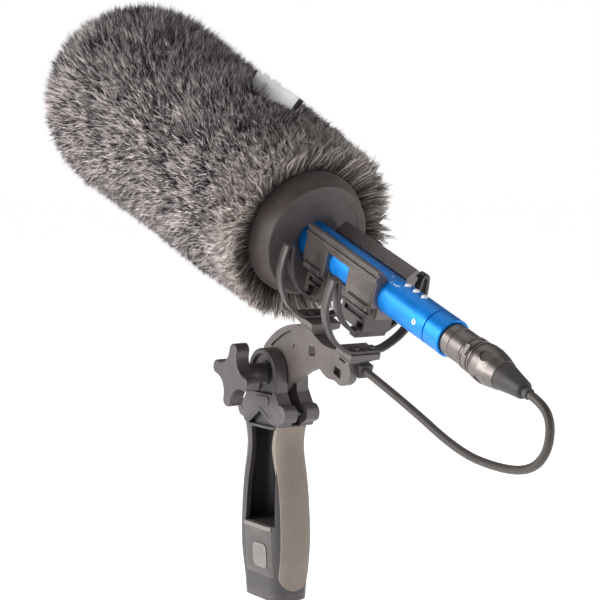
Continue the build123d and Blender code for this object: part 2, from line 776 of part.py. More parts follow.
def arc_flange():
    """The rim along the hollow between the two pads, wider on the far side."""
    low = [(t, n - 2.6) for t, n in SADDLE_ARC]
    with BuildSketch(flank(BAR_HALF)) as face:
        with BuildLine():
            Spline(*SADDLE_ARC)
            Line(SADDLE_ARC[-1], low[-1])
            Spline(*reversed(low))
            Line(low[0], SADDLE_ARC[0])
        make_face()
    extrude(face.sketch, amount=4.0)


def gusset(pad_t, low, root_t):
    """A flare from the web out to the underside of a pad."""
    sections = []
    for n, half_x, (t0, t1) in ((low, BAR_HALF, root_t), (PAD_TOP_N - PAD_THICK, PAD_HALF_X, pad_t)):
        with BuildSketch(deck(n)) as face:
            with Locations((0, (t0 + t1) / 2)):
                Rectangle(2 * half_x, t1 - t0)
        sections.append(face.sketch)
    loft(sections)


with BuildPart() as mount_bar:
    with BuildSketch(flank(-BAR_HALF)):
        with BuildLine():
            Polyline((-TONGUE_R, -1.0), (-17.4, 0.8), (-29.4, 13.8), (-35.6, 19.2), BAR_TAIL[0])
            Spline(*BAR_TAIL)
            Polyline(BAR_TAIL[-1], (-70.4, 33.2), (-67.2, 37.8), (-66.5, 45.4), SADDLE_ARC[-1])
            Spline(*reversed(SADDLE_ARC))
            Polyline(SADDLE_ARC[0], (-17.6, 45.4), BAR_SHOULDER[0])
            Spline(*BAR_SHOULDER)
            Polyline(BAR_SHOULDER[-1], (TONGUE_R, -1.0), (-TONGUE_R, -1.0))
        make_face()
        Circle(TONGUE_R)
        with Locations((-31.2, 28.8)):
            RectangleRounded(6.6, 5.6, 1.2, rotation=-20.0, mode=Mode.SUBTRACT)
        with Locations((-12.9, 23.2)):
            Rectangle(0.9, 3.2, mode=Mode.SUBTRACT)
        with Locations((-60.4, 37.2)):
            Rectangle(5.6, 1.3, mode=Mode.SUBTRACT)
        Circle(BOLT_R + FIT, mode=Mode.SUBTRACT)
    extrude(amount=2 * BAR_HALF)
    for x0 in (-BAR_HALF - 1.0, BAR_HALF - 1.2):
        with BuildSketch(flank(x0)):
            with BuildLine():
                Spline(*GROOVE_OUTER)
                Line(GROOVE_OUTER[-1], GROOVE_INNER[-1])
                Spline(*reversed(GROOVE_INNER))
                Line(GROOVE_INNER[0], GROOVE_OUTER[0])
            make_face()
        extrude(amount=2.2, mode=Mode.SUBTRACT)
    with BuildSketch(flank(-BAR_HALF)):
        with BuildLine():
            Polyline((-61.6, 31.4), (-61.9, 26.0), (-54.7, 26.6), (-55.0, 31.0), close=True)
        make_face()
    extrude(amount=3.4, mode=Mode.SUBTRACT)
    arc_flange()
    for t0, t1 in (FRONT_PAD_T, REAR_PAD_T):
        head_box((-PAD_HALF_X, PAD_HALF_X), (t0, t1), (PAD_TOP_N - PAD_THICK, PAD_TOP_N))
    gusset(FRONT_PAD_T, 39.4, (-31.0, -17.0))
    gusset(REAR_PAD_T, 38.8, (-69.0, -60.0))
save(mount_bar, "mount_bar")

with BuildPart() as cable_clip:
    head_box((BAR_HALF, CLIP_X + 4.6), CLIP_T, (CLIP_N - 4.2, CLIP_N + 3.2))
    with BuildSketch(section(CLIP_T[1] - 1.5)):
        with Locations((CLIP_X, CLIP_N - MIC_N)):
            Circle(CABLE_R + FIT)
    extrude(amount=30.0, mode=Mode.SUBTRACT)
save(cable_clip, "cable_clip")

# ================================================================ clamp head
def jaw_outline():
    """One side of the clamp head, drawn in (y, z): ear, two bosses and a notch over the grip."""
    with BuildSketch() as shape:
        with Locations((PIVOT_Y, PIVOT_Z)):
            Circle(EAR_R)
        with BuildLine():
            Polyline(
                (PIVOT_Y - EAR_R, PIVOT_Z),
                (PIVOT_Y - EAR_R - 0.4, BOSS_Z + 12.0),
                (PIVOT_Y - BOSS_DY + 1.0, BOSS_Z + BOSS_R - 0.4),
                (PIVOT_Y - NOTCH_DY - 1.5, NOTCH_FOOT_Z + 2.6),
                (PIVOT_Y - NOTCH_DY, NOTCH_FOOT_Z),
                (PIVOT_Y + 1.6, NOTCH_Z),
                (PIVOT_Y + NOTCH_DY, NOTCH_FOOT_Z),
                (PIVOT_Y + NOTCH_DY + 1.5, NOTCH_FOOT_Z + 2.6),
                (PIVOT_Y + BOSS_DY - 1.0, BOSS_Z + BOSS_R - 0.4),
                (PIVOT_Y + EAR_R + 0.4, BOSS_Z + 12.0),
                (PIVOT_Y + EAR_R, PIVOT_Z),
                close=True,
            )
        make_face()
        for dy in (-BOSS_DY, BOSS_DY):
            with Locations((PIVOT_Y + dy, BOSS_Z)):
                Circle(BOSS_R)
    return shape.sketch


JAW_OUTLINE = jaw_outline()


def jaw(side):
    """One ear of the clamp, with a raised rim round the sunk seat of the knob or the nut."""
    inner, outer = side * JAW_IN_X, side * JAW_OUT_X
    with BuildSketch(Plane.YZ.offset(min(inner, outer))) as face:
        add(JAW_OUTLINE)
        with Locations((PIVOT_Y, PIVOT_Z)):
            Circle(BOLT_R, mode=Mode.SUBTRACT)
        for dy in (-BOSS_DY, BOSS_DY):
            with Locations((PIVOT_Y + dy, BOSS_Z)):
                Circle(PIN_BORE_R, mode=Mode.SUBTRACT)
    extrude(face.sketch, amount=JAW_OUT_X - JAW_IN_X)
    with BuildSketch(Plane.YZ.offset(min(outer - side * EAR_SINK, outer))) as recess:
        with Locations((PIVOT_Y, PIVOT_Z)):
            Circle(EAR_R - EAR_RIM)
        with Locations((PIVOT_Y, PIVOT_Z - 6.0)):
            Rectangle(2 * (EAR_R - EAR_RIM), 12.0)
    extrude(recess.sketch, amount=EAR_SINK, mode=Mode.SUBTRACT)


def outer_rim(part, end):
    """The edges of the flat outer face of a jaw that stand above its bosses."""
    face = part.faces().filter_by(Axis.X).sort_by(Axis.X)[end]
    return [e for e in face.edges() if e.center().Z > BOSS_Z + 11.0]


with BuildPart() as near_jaw:
    jaw(-1)
    fillet(outer_rim(near_jaw, 0), 1.5)
    with BuildSketch(Plane.YZ.offset(-JAW_OUT_X - 1.0)):
        with Locations((PIVOT_Y + 8.0, PIVOT_Z - 8.0)):
            Circle(3.2)
    extrude(amount=4.0)
    with BuildSketch(Plane.YZ.offset(-JAW_OUT_X - 0.5)):
        with Locations((PIVOT_Y - 1.0, PIVOT_Z - 16.4)):
            RectangleRounded(15.0, 5.6, 1.6)
    extrude(amount=1.0)
save(near_jaw, "near_jaw")

with BuildPart() as far_jaw:
    jaw(1)
    fillet(outer_rim(far_jaw, -1), 1.5)
save(far_jaw, "far_jaw")

with BuildPart() as friction_washers:
    for x0 in (-JAW_IN_X, BAR_HALF + 0.03):
        sleeve(x0, x0 + JAW_IN_X - BAR_HALF - 0.03, PIVOT_Y, PIVOT_Z, 11.0, BOLT_R)
save(friction_washers, "friction_washers")

with BuildPart() as jaw_pins:
    for dy in (-BOSS_DY, BOSS_DY):
        rod(-JAW_OUT_X, JAW_OUT_X, PIVOT_Y + dy, BOSS_Z, PIN_BORE_R)
save(jaw_pins, "jaw_pins")

NUT_X0, NUT_X1 = JAW_OUT_X - EAR_SINK, JAW_OUT_X + 2.0

with BuildPart() as pivot_bolt:
    rod(KNOB_X0 + 5.0, NUT_X1 + 1.2, PIVOT_Y, PIVOT_Z, BOLT_R)
save(pivot_bolt, "pivot_bolt")

with BuildPart() as pivot_nut:
    with BuildSketch(Plane.YZ.offset(NUT_X0)):
        with Locations((PIVOT_Y, PIVOT_Z)):
            RegularPolygon(5.8, 6)
            Circle(BOLT_R, mode=Mode.SUBTRACT)
    extrude(amount=NUT_X1 - NUT_X0)
save(pivot_nut, "pivot_nut")

WASHER_X = -JAW_OUT_X + EAR_SINK
with BuildPart() as knob_washer:
    sleeve(WASHER_X - 1.0, WASHER_X, PIVOT_Y, PIVOT_Z, 7.5, BOLT_R)
save(knob_washer, "knob_washer")


def lobe_spot(number, along, sideways):
    """A point of the knob's outline, measured along one lobe and square to it."""
    a = math.radians(KNOB_TURN + 90.0 * number)
    y = along * math.cos(a) - sideways * math.sin(a)
    z = along * math.sin(a) + sideways * math.cos(a)
    return (PIVOT_Y + y, PIVOT_Z + z)


LOBE_FOOT = KNOB_R - LOBE_TIP_R
WAIST = KNOB_WAIST_R * math.sqrt(0.5)

with BuildPart() as star_knob:
    with BuildSketch(Plane.YZ.offset(KNOB_X0)):
        with BuildLine():
            for k in range(4):
                tip_end = lobe_spot(k, LOBE_FOOT, LOBE_TIP_R)
                ThreePointArc(lobe_spot(k, LOBE_FOOT, -LOBE_TIP_R), lobe_spot(k, KNOB_R, 0), tip_end)
                ThreePointArc(tip_end, lobe_spot(k, WAIST, WAIST), lobe_spot(k, LOBE_TIP_R, LOBE_FOOT))
        make_face()
    extrude(amount=KNOB_X1 - KNOB_X0)
    fillet(star_knob.faces().sort_by(Axis.X)[0].edges(), 1.3)
    rod(KNOB_X1, WASHER_X - 1.0 - FIT, PIVOT_Y, PIVOT_Z, HUB_R)
    rod(KNOB_X0 + 3.0, WASHER_X, PIVOT_Y, PIVOT_Z, 4.4, mode=Mode.SUBTRACT)
save(star_knob, "star_knob")

with BuildPart() as knob_insert:
    sleeve(KNOB_X0 + 3.0, WASHER_X - 1.0 - FIT, PIVOT_Y, PIVOT_Z, 4.4, BOLT_R + FIT)
save(knob_insert, "knob_insert")

# ================================================================ grip
WINDOW = [
    (WINDOW_Y - 14.6, FLOOR_Z),
    (WINDOW_Y - 13.4, 70.0),
    (WINDOW_Y - 11.8, 92.0),
    (WINDOW_Y - 12.6, WINDOW_TOP_Z),
    (WINDOW_Y + 11.2, WINDOW_TOP_Z),
    (WINDOW_Y + 11.6, 92.0),
    (WINDOW_Y + 13.4, 70.0),
    (WINDOW_Y + 14.6, FLOOR_Z),
]


def grip_slice(grow, low, high):
    """The grip's solid between two heights."""
    grip_body(grow)
    with BuildSketch(Plane.XY.offset(low)) as slab:
        Rectangle(80, 80)
    extrude(slab.sketch, amount=high - low, mode=Mode.INTERSECT)


def front_panel(grow, low, high):
    """A piece of the outer wall on the -X side, between the edges of the cover."""
    grip_body(grow)
    grip_body(-PANEL_DEPTH, mode=Mode.SUBTRACT)
    prism(
        Plane.YZ.offset(-20.0),
        (COVER_Y0, low),
        (COVER_Y0, high),
        (COVER_Y1, high),
        (COVER_Y1, low),
        amount=20.0,
        mode=Mode.INTERSECT,
    )


def grip_pad(plane, outside):
    """A strip of the skin along one pole of the grip, from the clamp down to its round end."""
    grip_body(outside)
    grip_body(-PAD_SINK, mode=Mode.SUBTRACT)
    pad_outline(plane, 40.0, Mode.INTERSECT)


REAR, FRONT = Plane.XZ, Plane.XZ.offset(-40.0)

with BuildPart() as gable:
    _, top_a, top_b, top_corner = GRIP[-1]
    with BuildSketch(Plane.XY.offset(GRIP_TOP)):
        RectangleRounded(2 * top_a, 2 * top_b, top_corner)
    extrude(amount=20.0)
    prism(
        Plane.YZ.offset(-20.0),
        (PIVOT_Y - NOTCH_DY, GRIP_TOP),
        (PIVOT_Y + 1.6, NOTCH_Z - 0.1),
        (PIVOT_Y + NOTCH_DY, GRIP_TOP),
        amount=40.0,
        mode=Mode.INTERSECT,
    )
with BuildPart() as upper_cavity:
    grip_slice(-GRIP_WALL, FLOOR_Z, WINDOW_TOP_Z)
with BuildPart() as lower_cavity:
    grip_slice(-GRIP_WALL, COVER_LOW_Z + 2.6, COVER_HIGH_Z - 2.6)
with BuildPart() as panel_recess:
    front_panel(1.0, COVER_LOW_Z, FLOOR_Z)
with BuildPart() as rear_recess:
    grip_pad(REAR, 1.0)
with BuildPart() as front_recess:
    grip_pad(FRONT, 1.0)

with BuildPart() as handle_shell:
    grip_body()
    add(gable.part)
    add(upper_cavity.part, mode=Mode.SUBTRACT)
    add(lower_cavity.part, mode=Mode.SUBTRACT)
    prism(Plane.YZ.offset(-20.0), *WINDOW, amount=17.0, mode=Mode.SUBTRACT)
    prism(
        Plane.YZ.offset(-20.0),
        (PIVOT_Y - 13.6, GRIP_TOP - 0.4),
        (PIVOT_Y + 1.6, NOTCH_Z - 2.2),
        (PIVOT_Y + 13.6, GRIP_TOP - 0.4),
        amount=20.0 - JAW_OUT_X + 3.0,
        mode=Mode.SUBTRACT,
    )
    add(panel_recess.part, mode=Mode.SUBTRACT)
    add(rear_recess.part, mode=Mode.SUBTRACT)
    add(front_recess.part, mode=Mode.SUBTRACT)
    with BuildSketch(Plane.XY):
        Rectangle(80, 80)
    extrude(amount=CAP_Z, mode=Mode.SUBTRACT)
    with BuildSketch(Plane.XY.offset(CAP_Z)):
        Circle(INSERT_R)
    extrude(amount=THREAD_DEPTH + 2.0 - CAP_Z, mode=Mode.SUBTRACT)
    with BuildSketch(Plane.XY.offset(COVER_HIGH_Z - 3.0)):
        with Locations(GROMMET_SPOT):
            Circle(GROMMET_R)
    extrude(amount=8.0, mode=Mode.SUBTRACT)
save(handle_shell, "handle_shell")

for name, plane in (("rear_grip_pad", REAR), ("front_grip_pad", FRONT)):
    with BuildPart() as pad:
        grip_pad(plane, PAD_PROUD)
        with BuildSketch(Plane.XY.offset(CAP_Z)):
            Rectangle(80, 80)
        extrude(amount=GRIP_TOP - CAP_Z, mode=Mode.INTERSECT)
    save(pad, name)

with BuildPart() as cover_plate:
    front_panel(0.1, COVER_LOW_Z, COVER_HIGH_Z)
save(cover_plate, "cover_plate")

with BuildPart() as window_lip:
    front_panel(1.1, COVER_HIGH_Z, FLOOR_Z)
save(window_lip, "window_lip")

with BuildPart() as badge:
    grip_body(0.7)
    grip_body(0.1, mode=Mode.SUBTRACT)
    with BuildSketch(Plane.YZ.offset(-20.0)):
        with Locations(BADGE_SPOT):
            RectangleRounded(BADGE_WIDTH, BADGE_HEIGHT, BADGE_CORNER)
    extrude(amount=20.0, mode=Mode.INTERSECT)
save(badge, "badge")

with BuildPart() as floor_grommet:
    with BuildSketch(Plane.XY.offset(COVER_HIGH_Z - 2.6)):
        with Locations(GROMMET_SPOT):
            Circle(GROMMET_R)
            Circle(GROMMET_R - 1.8, mode=Mode.SUBTRACT)
    extrude(amount=FLOOR_Z - COVER_HIGH_Z + 2.6)
    with BuildSketch(Plane.XY.offset(FLOOR_Z)):
        with Locations(GROMMET_SPOT):
            Circle(GROMMET_R + 1.0)
            Circle(GROMMET_R - 1.8, mode=Mode.SUBTRACT)
    extrude(amount=0.8)
save(floor_grommet, "floor_grommet")

with BuildPart() as base_cap:
    grip_body()
    with BuildSketch(Plane.XY):
        Rectangle(80, 80)
    extrude(amount=CAP_Z, mode=Mode.INTERSECT)
    with BuildSketch(Plane.XY):
        Circle(INSERT_R)
        with Locations((0, 14.0), (0, -14.0)):
            Circle(1.6)
    extrude(amount=CAP_Z, mode=Mode.SUBTRACT)
save(base_cap, "base_cap")

with BuildPart() as base_screws:
    with BuildSketch(Plane.XY.offset(0.8)):
        with Locations((0, 14.0), (0, -14.0)):
            Circle(1.6)
    extrude(amount=CAP_Z - 0.8)
    with BuildSketch(Plane.XY.offset(0.8)):
        with Locations((0, 14.0), (0, -14.0)):
            Rectangle(2.2, 0.5)
    extrude(amount=0.6, mode=Mode.SUBTRACT)
save(base_screws, "base_screws")

with BuildPart() as thread_insert:
    with BuildSketch(Plane.XY):
        Circle(INSERT_R)
        Circle(THREAD_TAP_R, mode=Mode.SUBTRACT)
    extrude(amount=THREAD_DEPTH)
    with BuildSketch(Plane.XY.offset(THREAD_DEPTH)):
        Circle(INSERT_R)
    extrude(amount=2.0)
save(thread_insert, "thread_insert")
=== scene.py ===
import json
import math

import bpy
import numpy as np
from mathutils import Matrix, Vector


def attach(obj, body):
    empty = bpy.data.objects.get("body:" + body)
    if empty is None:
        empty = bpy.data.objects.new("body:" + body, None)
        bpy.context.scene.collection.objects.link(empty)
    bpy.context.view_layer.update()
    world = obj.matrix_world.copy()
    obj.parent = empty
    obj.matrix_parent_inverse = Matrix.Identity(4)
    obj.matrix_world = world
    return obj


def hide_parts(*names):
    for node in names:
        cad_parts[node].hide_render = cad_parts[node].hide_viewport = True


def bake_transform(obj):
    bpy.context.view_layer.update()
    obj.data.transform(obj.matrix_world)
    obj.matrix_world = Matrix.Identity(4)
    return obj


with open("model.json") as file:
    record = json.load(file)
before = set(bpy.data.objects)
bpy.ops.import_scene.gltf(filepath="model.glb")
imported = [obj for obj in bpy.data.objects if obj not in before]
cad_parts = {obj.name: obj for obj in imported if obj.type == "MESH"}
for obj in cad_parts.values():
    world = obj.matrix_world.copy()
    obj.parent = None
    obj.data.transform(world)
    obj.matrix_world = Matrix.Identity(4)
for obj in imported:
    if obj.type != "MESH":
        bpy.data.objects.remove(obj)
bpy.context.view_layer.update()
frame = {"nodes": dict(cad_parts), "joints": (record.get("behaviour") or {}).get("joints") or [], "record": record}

# Lengths below are in millimetres unless a name says otherwise; at() turns them into the frame's metres.
MM = 0.001

# ---------------------------------------------------------------- places taken from the frame
joints = {joint["name"]: joint for joint in frame["joints"]}
ALONG = Vector(joints["windscreen_slide"]["axis"]).normalized()
ACROSS = Vector((1.0, 0.0, 0.0))
OVER = ACROSS.cross(ALONG)
PITCH = math.atan2(ALONG.z, ALONG.y)
PIVOT = Vector((0.0, -3.0, 137.0))  # foot of the tilt axis
MIC_N = 89.3  # the microphone axis over the pivot
MIC_R = 10.5

# windscreen
FOAM_BACK_T, FOAM_R, DOME_T, BORE_END_T = 3.0, 36.5, 213.0, 109.4
FUR_BACK_R, FUR_MID_R, FUR_NOSE_R = 56.0, 60.3, 67.3
NOSE_BLUNT = 0.055  # how far the nose stands out of a sphere, half way round it
FUR_SIDE, FUR_TILT, FUR_LIFT = math.radians(31.0), math.radians(1.2), 2.0
FUR_BACK_T = 0.6
TAG_T, TAG_L, TAG_THICK = 61.0, 56.5, 0.8
TAG_ANGLE, TAG_OFF_AXIS = math.radians(28.0), 12.0
TAG_FOOT_R, TAG_TOP_R = 37.0, 60.5
BINDING_L, BINDING_THICK = 3.0, 0.5

# lyre suspension, x and height h from the microphone axis
LYRE_T = {"front_lyre": -26.2, "rear_lyre": -73.4}
LYRE_DEPTH, STRAND = 6.0, 2.3
TIP_X, TIP_H, TIP_BEND_R = 30.1, 3.2, 1.9
OUTER_FLAT_H, INNER_FLAT_H, INNER_FLAT_THICK = -40.9, -30.1, 5.2
OUTER_ARM = [(15.0, -37.6), (23.4, -31.0), (29.4, -21.8), (32.7, -12.5), (32.9, -4.0)]
INNER_ARM = [(27.7, -2.0), (26.3, -7.5), (23.2, -15.0), (17.2, -22.4)]

# cable, the route's points as (x, t, n)
CABLE_R = 2.3
CABLE_ROUTE = [
    (0.0, -204.2, 89.3),
    (0.0, -214.6, 89.3),
    (0.5, -222.8, 82.4),
    (1.1, -224.8, 67.6),
    (1.9, -217.0, 53.8),
    (3.0, -197.0, 43.0),
    (4.9, -163.0, 33.4),
    (6.5, -111.0, 35.4),
    (6.5, -64.3, 35.4),
]


def at(x, t, n):
    """A point of the tilting head in metres: x across, t along the microphone, n over the pivot."""
    return (PIVOT + ACROSS * x + ALONG * t + OVER * n) * MM


def around(t, angle, r):
    """A point in metres at radius r round the microphone, at this angle from straight up towards +X."""
    return at(r * math.sin(angle), t, MIC_N + r * math.cos(angle))


# ---------------------------------------------------------------- camera
CAMERA_SPOT = Vector((-0.5248, -0.8018, 0.2569))
CAMERA_TURN, CAMERA_DIP = math.radians(34.09), math.radians(4.6)

lens = bpy.data.cameras.new("camera")
lens.lens, lens.sensor_width = 96.0, 36.0
lens.clip_start, lens.clip_end = 0.05, 20.0
camera = bpy.data.objects.new("camera", lens)
bpy.context.scene.collection.objects.link(camera)
camera.location = CAMERA_SPOT
camera.rotation_euler = (math.pi / 2 - CAMERA_DIP, 0.0, -CAMERA_TURN)
bpy.context.scene.camera = camera
bpy.context.scene.view_settings.view_transform = "Standard"


# ---------------------------------------------------------------- materials
class Look:
    """A node material under construction, with one Principled shader."""

    def __init__(self, name, roughness=0.5, metallic=0.0, specular=0.5):
        self.material = bpy.data.materials.new(name)
        self.material.use_nodes = True
        self.nodes = self.material.node_tree.nodes
        self.shader = self.nodes["Principled BSDF"]
        self.feed(self.shader, {"Roughness": roughness, "Metallic": metallic})
        self.feed(self.shader, {"Specular IOR Level": specular})
        self.place = self.add("ShaderNodeTexCoord").outputs["Object"]

    def feed(self, node, inputs):
        for key, value in inputs.items():
            if isinstance(value, bpy.types.NodeSocket):
                self.material.node_tree.links.new(value, node.inputs[key])
            else:
                node.inputs[key].default_value = value

    def add(self, kind, inputs=None, **settings):
        node = self.nodes.new(kind)
        for key, value in settings.items():
            setattr(node, key, value)
        self.feed(node, inputs or {})
        return node

    def noise(self, size, detail=3.0, stretch=None, warp=0.0):
        """Noise with features of this size in millimetres, stretched along the microphone's own axes."""
        place = self.place
        if stretch:
            turned = {"Vector": place, "Rotation": (-PITCH, 0.0, 0.0), "Scale": stretch}
            place = self.add("ShaderNodeMapping", turned, vector_type="TEXTURE").outputs[0]
        inputs = {"Vector": place, "Scale": 1.0 / (size * MM), "Detail": detail, "Distortion": warp}
        return self.add("ShaderNodeTexNoise", inputs).outputs["Fac"]

    def blend(self, share, first, second, low=0.0, high=1.0):
        """first where share is low, second where it is high. Colours are three numbers or a socket."""
        span = {"Value": share, "From Min": low, "From Max": high}
        factor = self.add("ShaderNodeMapRange", span).outputs[0]
        node = self.add("ShaderNodeMix", data_type="RGBA")
        node.inputs["Factor"].default_value = 0.0
        self.material.node_tree.links.new(factor, node.inputs["Factor"])
        for socket, colour in ((node.inputs[6], first), (node.inputs[7], second)):
            if isinstance(colour, bpy.types.NodeSocket):
                self.material.node_tree.links.new(colour, socket)
            else:
                socket.default_value = (*colour, 1.0)
        return node.outputs[2]

    def spread(self, share, low, high):
        """share from about 0.3 to 0.7 mapped to a value from low to high."""
        span = {"Value": share, "From Min": 0.3, "From Max": 0.7, "To Min": low, "To Max": high}
        return self.add("ShaderNodeMapRange", span).outputs[0]

    def maths(self, operation, *values):
        node = self.add("ShaderNodeMath", operation=operation)
        for socket, value in zip(node.inputs, values):
            if isinstance(value, bpy.types.NodeSocket):
                self.material.node_tree.links.new(value, socket)
            else:
                socket.default_value = value
        return node.outputs[0]

    def relief(self, height, depth, edge=0.0):
        """Bumps of this depth in millimetres, over edges rounded by this radius."""
        inputs = {"Height": height, "Distance": depth * MM, "Strength": 1.0}
        if edge:
            rounding = self.add("ShaderNodeBevel", {"Radius": edge * MM}, samples=4)
            inputs["Normal"] = rounding.outputs[0]
        self.shade("Normal", self.add("ShaderNodeBump", inputs).outputs[0])

    def shade(self, key, value):
        self.feed(self.shader, {key: value})


def scaled(colour, by):
    return tuple(min(1.0, c * by) for c in colour)


def moulded(name, colour, roughness, grain=0.35, depth=0.015, edge=0.35, worn=0.5, **shader):
    """Moulded plastic: fine spark grain, soft mottling and paler worn edges."""
    look = Look(name, roughness=roughness, **shader)
    clouds, fine = look.noise(14.0), look.noise(grain, detail=2.0)
    base = look.blend(clouds, scaled(colour, 0.86), scaled(colour, 1.16), 0.35, 0.65)
    base = look.blend(fine, base, scaled(colour, 1.3), 0.55, 0.95)
    pointed = look.add("ShaderNodeNewGeometry").outputs["Pointiness"]
    rubbed = look.maths("MULTIPLY", look.spread(pointed, -2.0, 3.2), look.noise(5.0))
    look.shade("Base Color", look.blend(rubbed, base, scaled(colour, 1.0 + worn), 0.25, 0.9))
    look.shade("Roughness", look.spread(clouds, roughness - 0.05, roughness + 0.07))
    look.relief(fine, depth, edge)
    return look.material


def rubbery(name, colour, roughness=0.72, grain=0.5, depth=0.03, edge=0.5, mottle=0.12):
    """Soft-touch rubber: matte, with pores and a faint bloom of dust."""
    look = Look(name, roughness=roughness, specular=0.35)
    dust, pores = look.noise(7.0, detail=6.0), look.noise(grain, detail=4.0)
    base = look.blend(dust, scaled(colour, 1.0 - mottle), scaled(colour, 1.0 + mottle), 0.35, 0.68)
    look.shade("Base Color", look.blend(pores, scaled(colour, 0.72), base, 0.3, 0.5))
    look.shade("Roughness", look.spread(dust, roughness - 0.08, roughness + 0.08))
    look.shade("Sheen Weight", 0.12)
    look.relief(pores, depth, edge)
    return look.material


def turned_metal(name, colour, roughness, metallic=1.0, ring=0.25, depth=0.004, edge=0.2):
    """Lathe-turned and finished metal: fine rings round the microphone axis, with faint smears."""
    look = Look(name, roughness=roughness, metallic=metallic)
    rings = look.noise(ring, detail=2.0, stretch=(60.0, 1.0, 60.0))
    smears = look.noise(9.0, detail=5.0, warp=0.6)
    base = look.blend(rings, scaled(colour, 0.9), scaled(colour, 1.1), 0.35, 0.65)
    look.shade("Base Color", look.blend(smears, base, scaled(colour, 1.18), 0.5, 0.8))
    look.shade("Roughness", look.spread(smears, roughness - 0.05, roughness + 0.08))
    look.relief(rings, depth, edge)
    return look.material


def small_metal(name, colour, roughness=0.35):
    """Plated or plain metal of pins, screws and washers."""
    look = Look(name, roughness=roughness, metallic=1.0)
    spots = look.noise(1.6, detail=5.0)
    look.shade("Base Color", look.blend(spots, scaled(colour, 0.8), scaled(colour, 1.15), 0.35, 0.7))
    look.shade("Roughness", look.spread(spots, roughness - 0.08, roughness + 0.12))
    look.relief(spots, 0.01, 0.15)
    return look.material


def laminate(name):
    """Circuit board: green resist over a glass weave."""
    look = Look(name, roughness=0.3)
    weave = look.noise(0.6, detail=1.0)
    look.shade("Base Color", look.blend(weave, (0.01, 0.09, 0.035), (0.02, 0.16, 0.06), 0.35, 0.65))
    look.relief(weave, 0.01, 0.1)
    return look.material


def lens_plastic(name):
    """The clear cap of the small lamp, unlit."""
    look = Look(name, roughness=0.12)
    haze = look.noise(0.5)
    look.shade("Base Color", look.blend(haze, (0.10, 0.11, 0.10), (0.22, 0.24, 0.22), 0.3, 0.7))
    look.shade("Coat Weight", 1.0)
    look.relief(haze, 0.004)
    return look.material


def paint(name, colour):
    """Printed or enamelled marks."""
    look = Look(name, roughness=0.45)
    speck = look.noise(0.3)
    look.shade("Base Color", look.blend(speck, scaled(colour, 0.88), colour, 0.3, 0.6))
    look.relief(speck, 0.01)
    return look.material


def open_foam(name, colour):
    """Reticulated foam: open cells of about a millimetre, with painted shade darkening the pits of the cells."""
    look = Look(name, roughness=0.95, specular=0.1)
    cells = look.add("ShaderNodeTexVoronoi", {"Vector": look.place, "Scale": 1.0 / (1.1 * MM)})
    depth = cells.outputs["Distance"]
    # painted shade: the colour falls to a quarter in the pits of the cells, where the relief is lowest
    look.shade("Base Color", look.blend(depth, scaled(colour, 0.25), scaled(colour, 1.5), 0.1, 0.7))
    look.relief(depth, 0.6)
    return look.material


def woven(name, colour, thread):
    """Plain weave with threads this far apart, drawn in the cloth's own millimetres, with painted shade in the low
    gaps between the threads.
    """
    look = Look(name, roughness=0.85, specular=0.2)
    cloth = look.add("ShaderNodeAttribute", attribute_name="cloth").outputs["Vector"]
    parts = look.add("ShaderNodeSeparateXYZ", {"Vector": cloth}).outputs
    warp, weft = (look.maths("SINE", look.maths("MULTIPLY", p, math.pi / thread)) for p in parts[:2])
    crossing = look.maths("MULTIPLY", warp, weft)
    ribs = look.maths("ADD", look.maths("ABSOLUTE", warp), look.maths("ABSOLUTE", weft))
    height = look.maths("ADD", look.maths("MULTIPLY", crossing, 0.5), look.maths("MULTIPLY", ribs, 0.3))
    fuzz = look.noise(0.8, detail=5.0)
    # painted shade: the colour darkens where the weave is low, between the threads
    base = look.blend(height, scaled(colour, 0.72), scaled(colour, 1.05), -0.3, 0.7)
    look.shade("Base Color", look.blend(fuzz, base, scaled(colour, 0.85), 0.45, 0.95))
    look.shade("Sheen Weight", 0.25)
    look.relief(height, 0.09)
    return look.material


def pile_look(name):
    """Fur fibres: near-black, brownish at the root as painted shade of the deep pile, grey in the middle, pale at
    the tip.
    """
    look = Look(name, roughness=0.62, specular=0.25)
    pile = look.add("ShaderNodeAttribute", attribute_name="pile").outputs["Vector"]
    height, shade, rear = look.add("ShaderNodeSeparateXYZ", {"Vector": pile}).outputs
    streak = look.noise(1.2, detail=3.0)
    lift = look.maths("ADD", height, look.maths("MULTIPLY", look.maths("SUBTRACT", streak, 0.5), 0.16))
    # painted shade: below the knee the fibres go near-black, darkest at the root, standing in for the shade deep
    # in the pile
    painted_root_shade = look.blend(lift, (0.008, 0.006, 0.006), (0.038, 0.030, 0.030), 0.3, 0.75)
    tip = look.blend(shade, (0.018, 0.013, 0.014), (0.80, 0.71, 0.70), 0.40, 0.95)
    base = look.blend(lift, painted_root_shade, tip, 0.66, 0.86)
    # the rear tufts by the collar get a brownish tint, with painted shade still darker towards the root
    brownish_and_root_shade = look.blend(lift, (0.07, 0.055, 0.048), (0.34, 0.29, 0.26), 0.1, 0.6)
    rear_tint_and_root_shade = look.blend(shade, brownish_and_root_shade, (0.80, 0.72, 0.66), 0.35, 1.0)
    look.shade("Base Color", look.blend(rear, base, rear_tint_and_root_shade, 0.0, 1.2))
    look.relief(streak, 0.05)
    return look.material


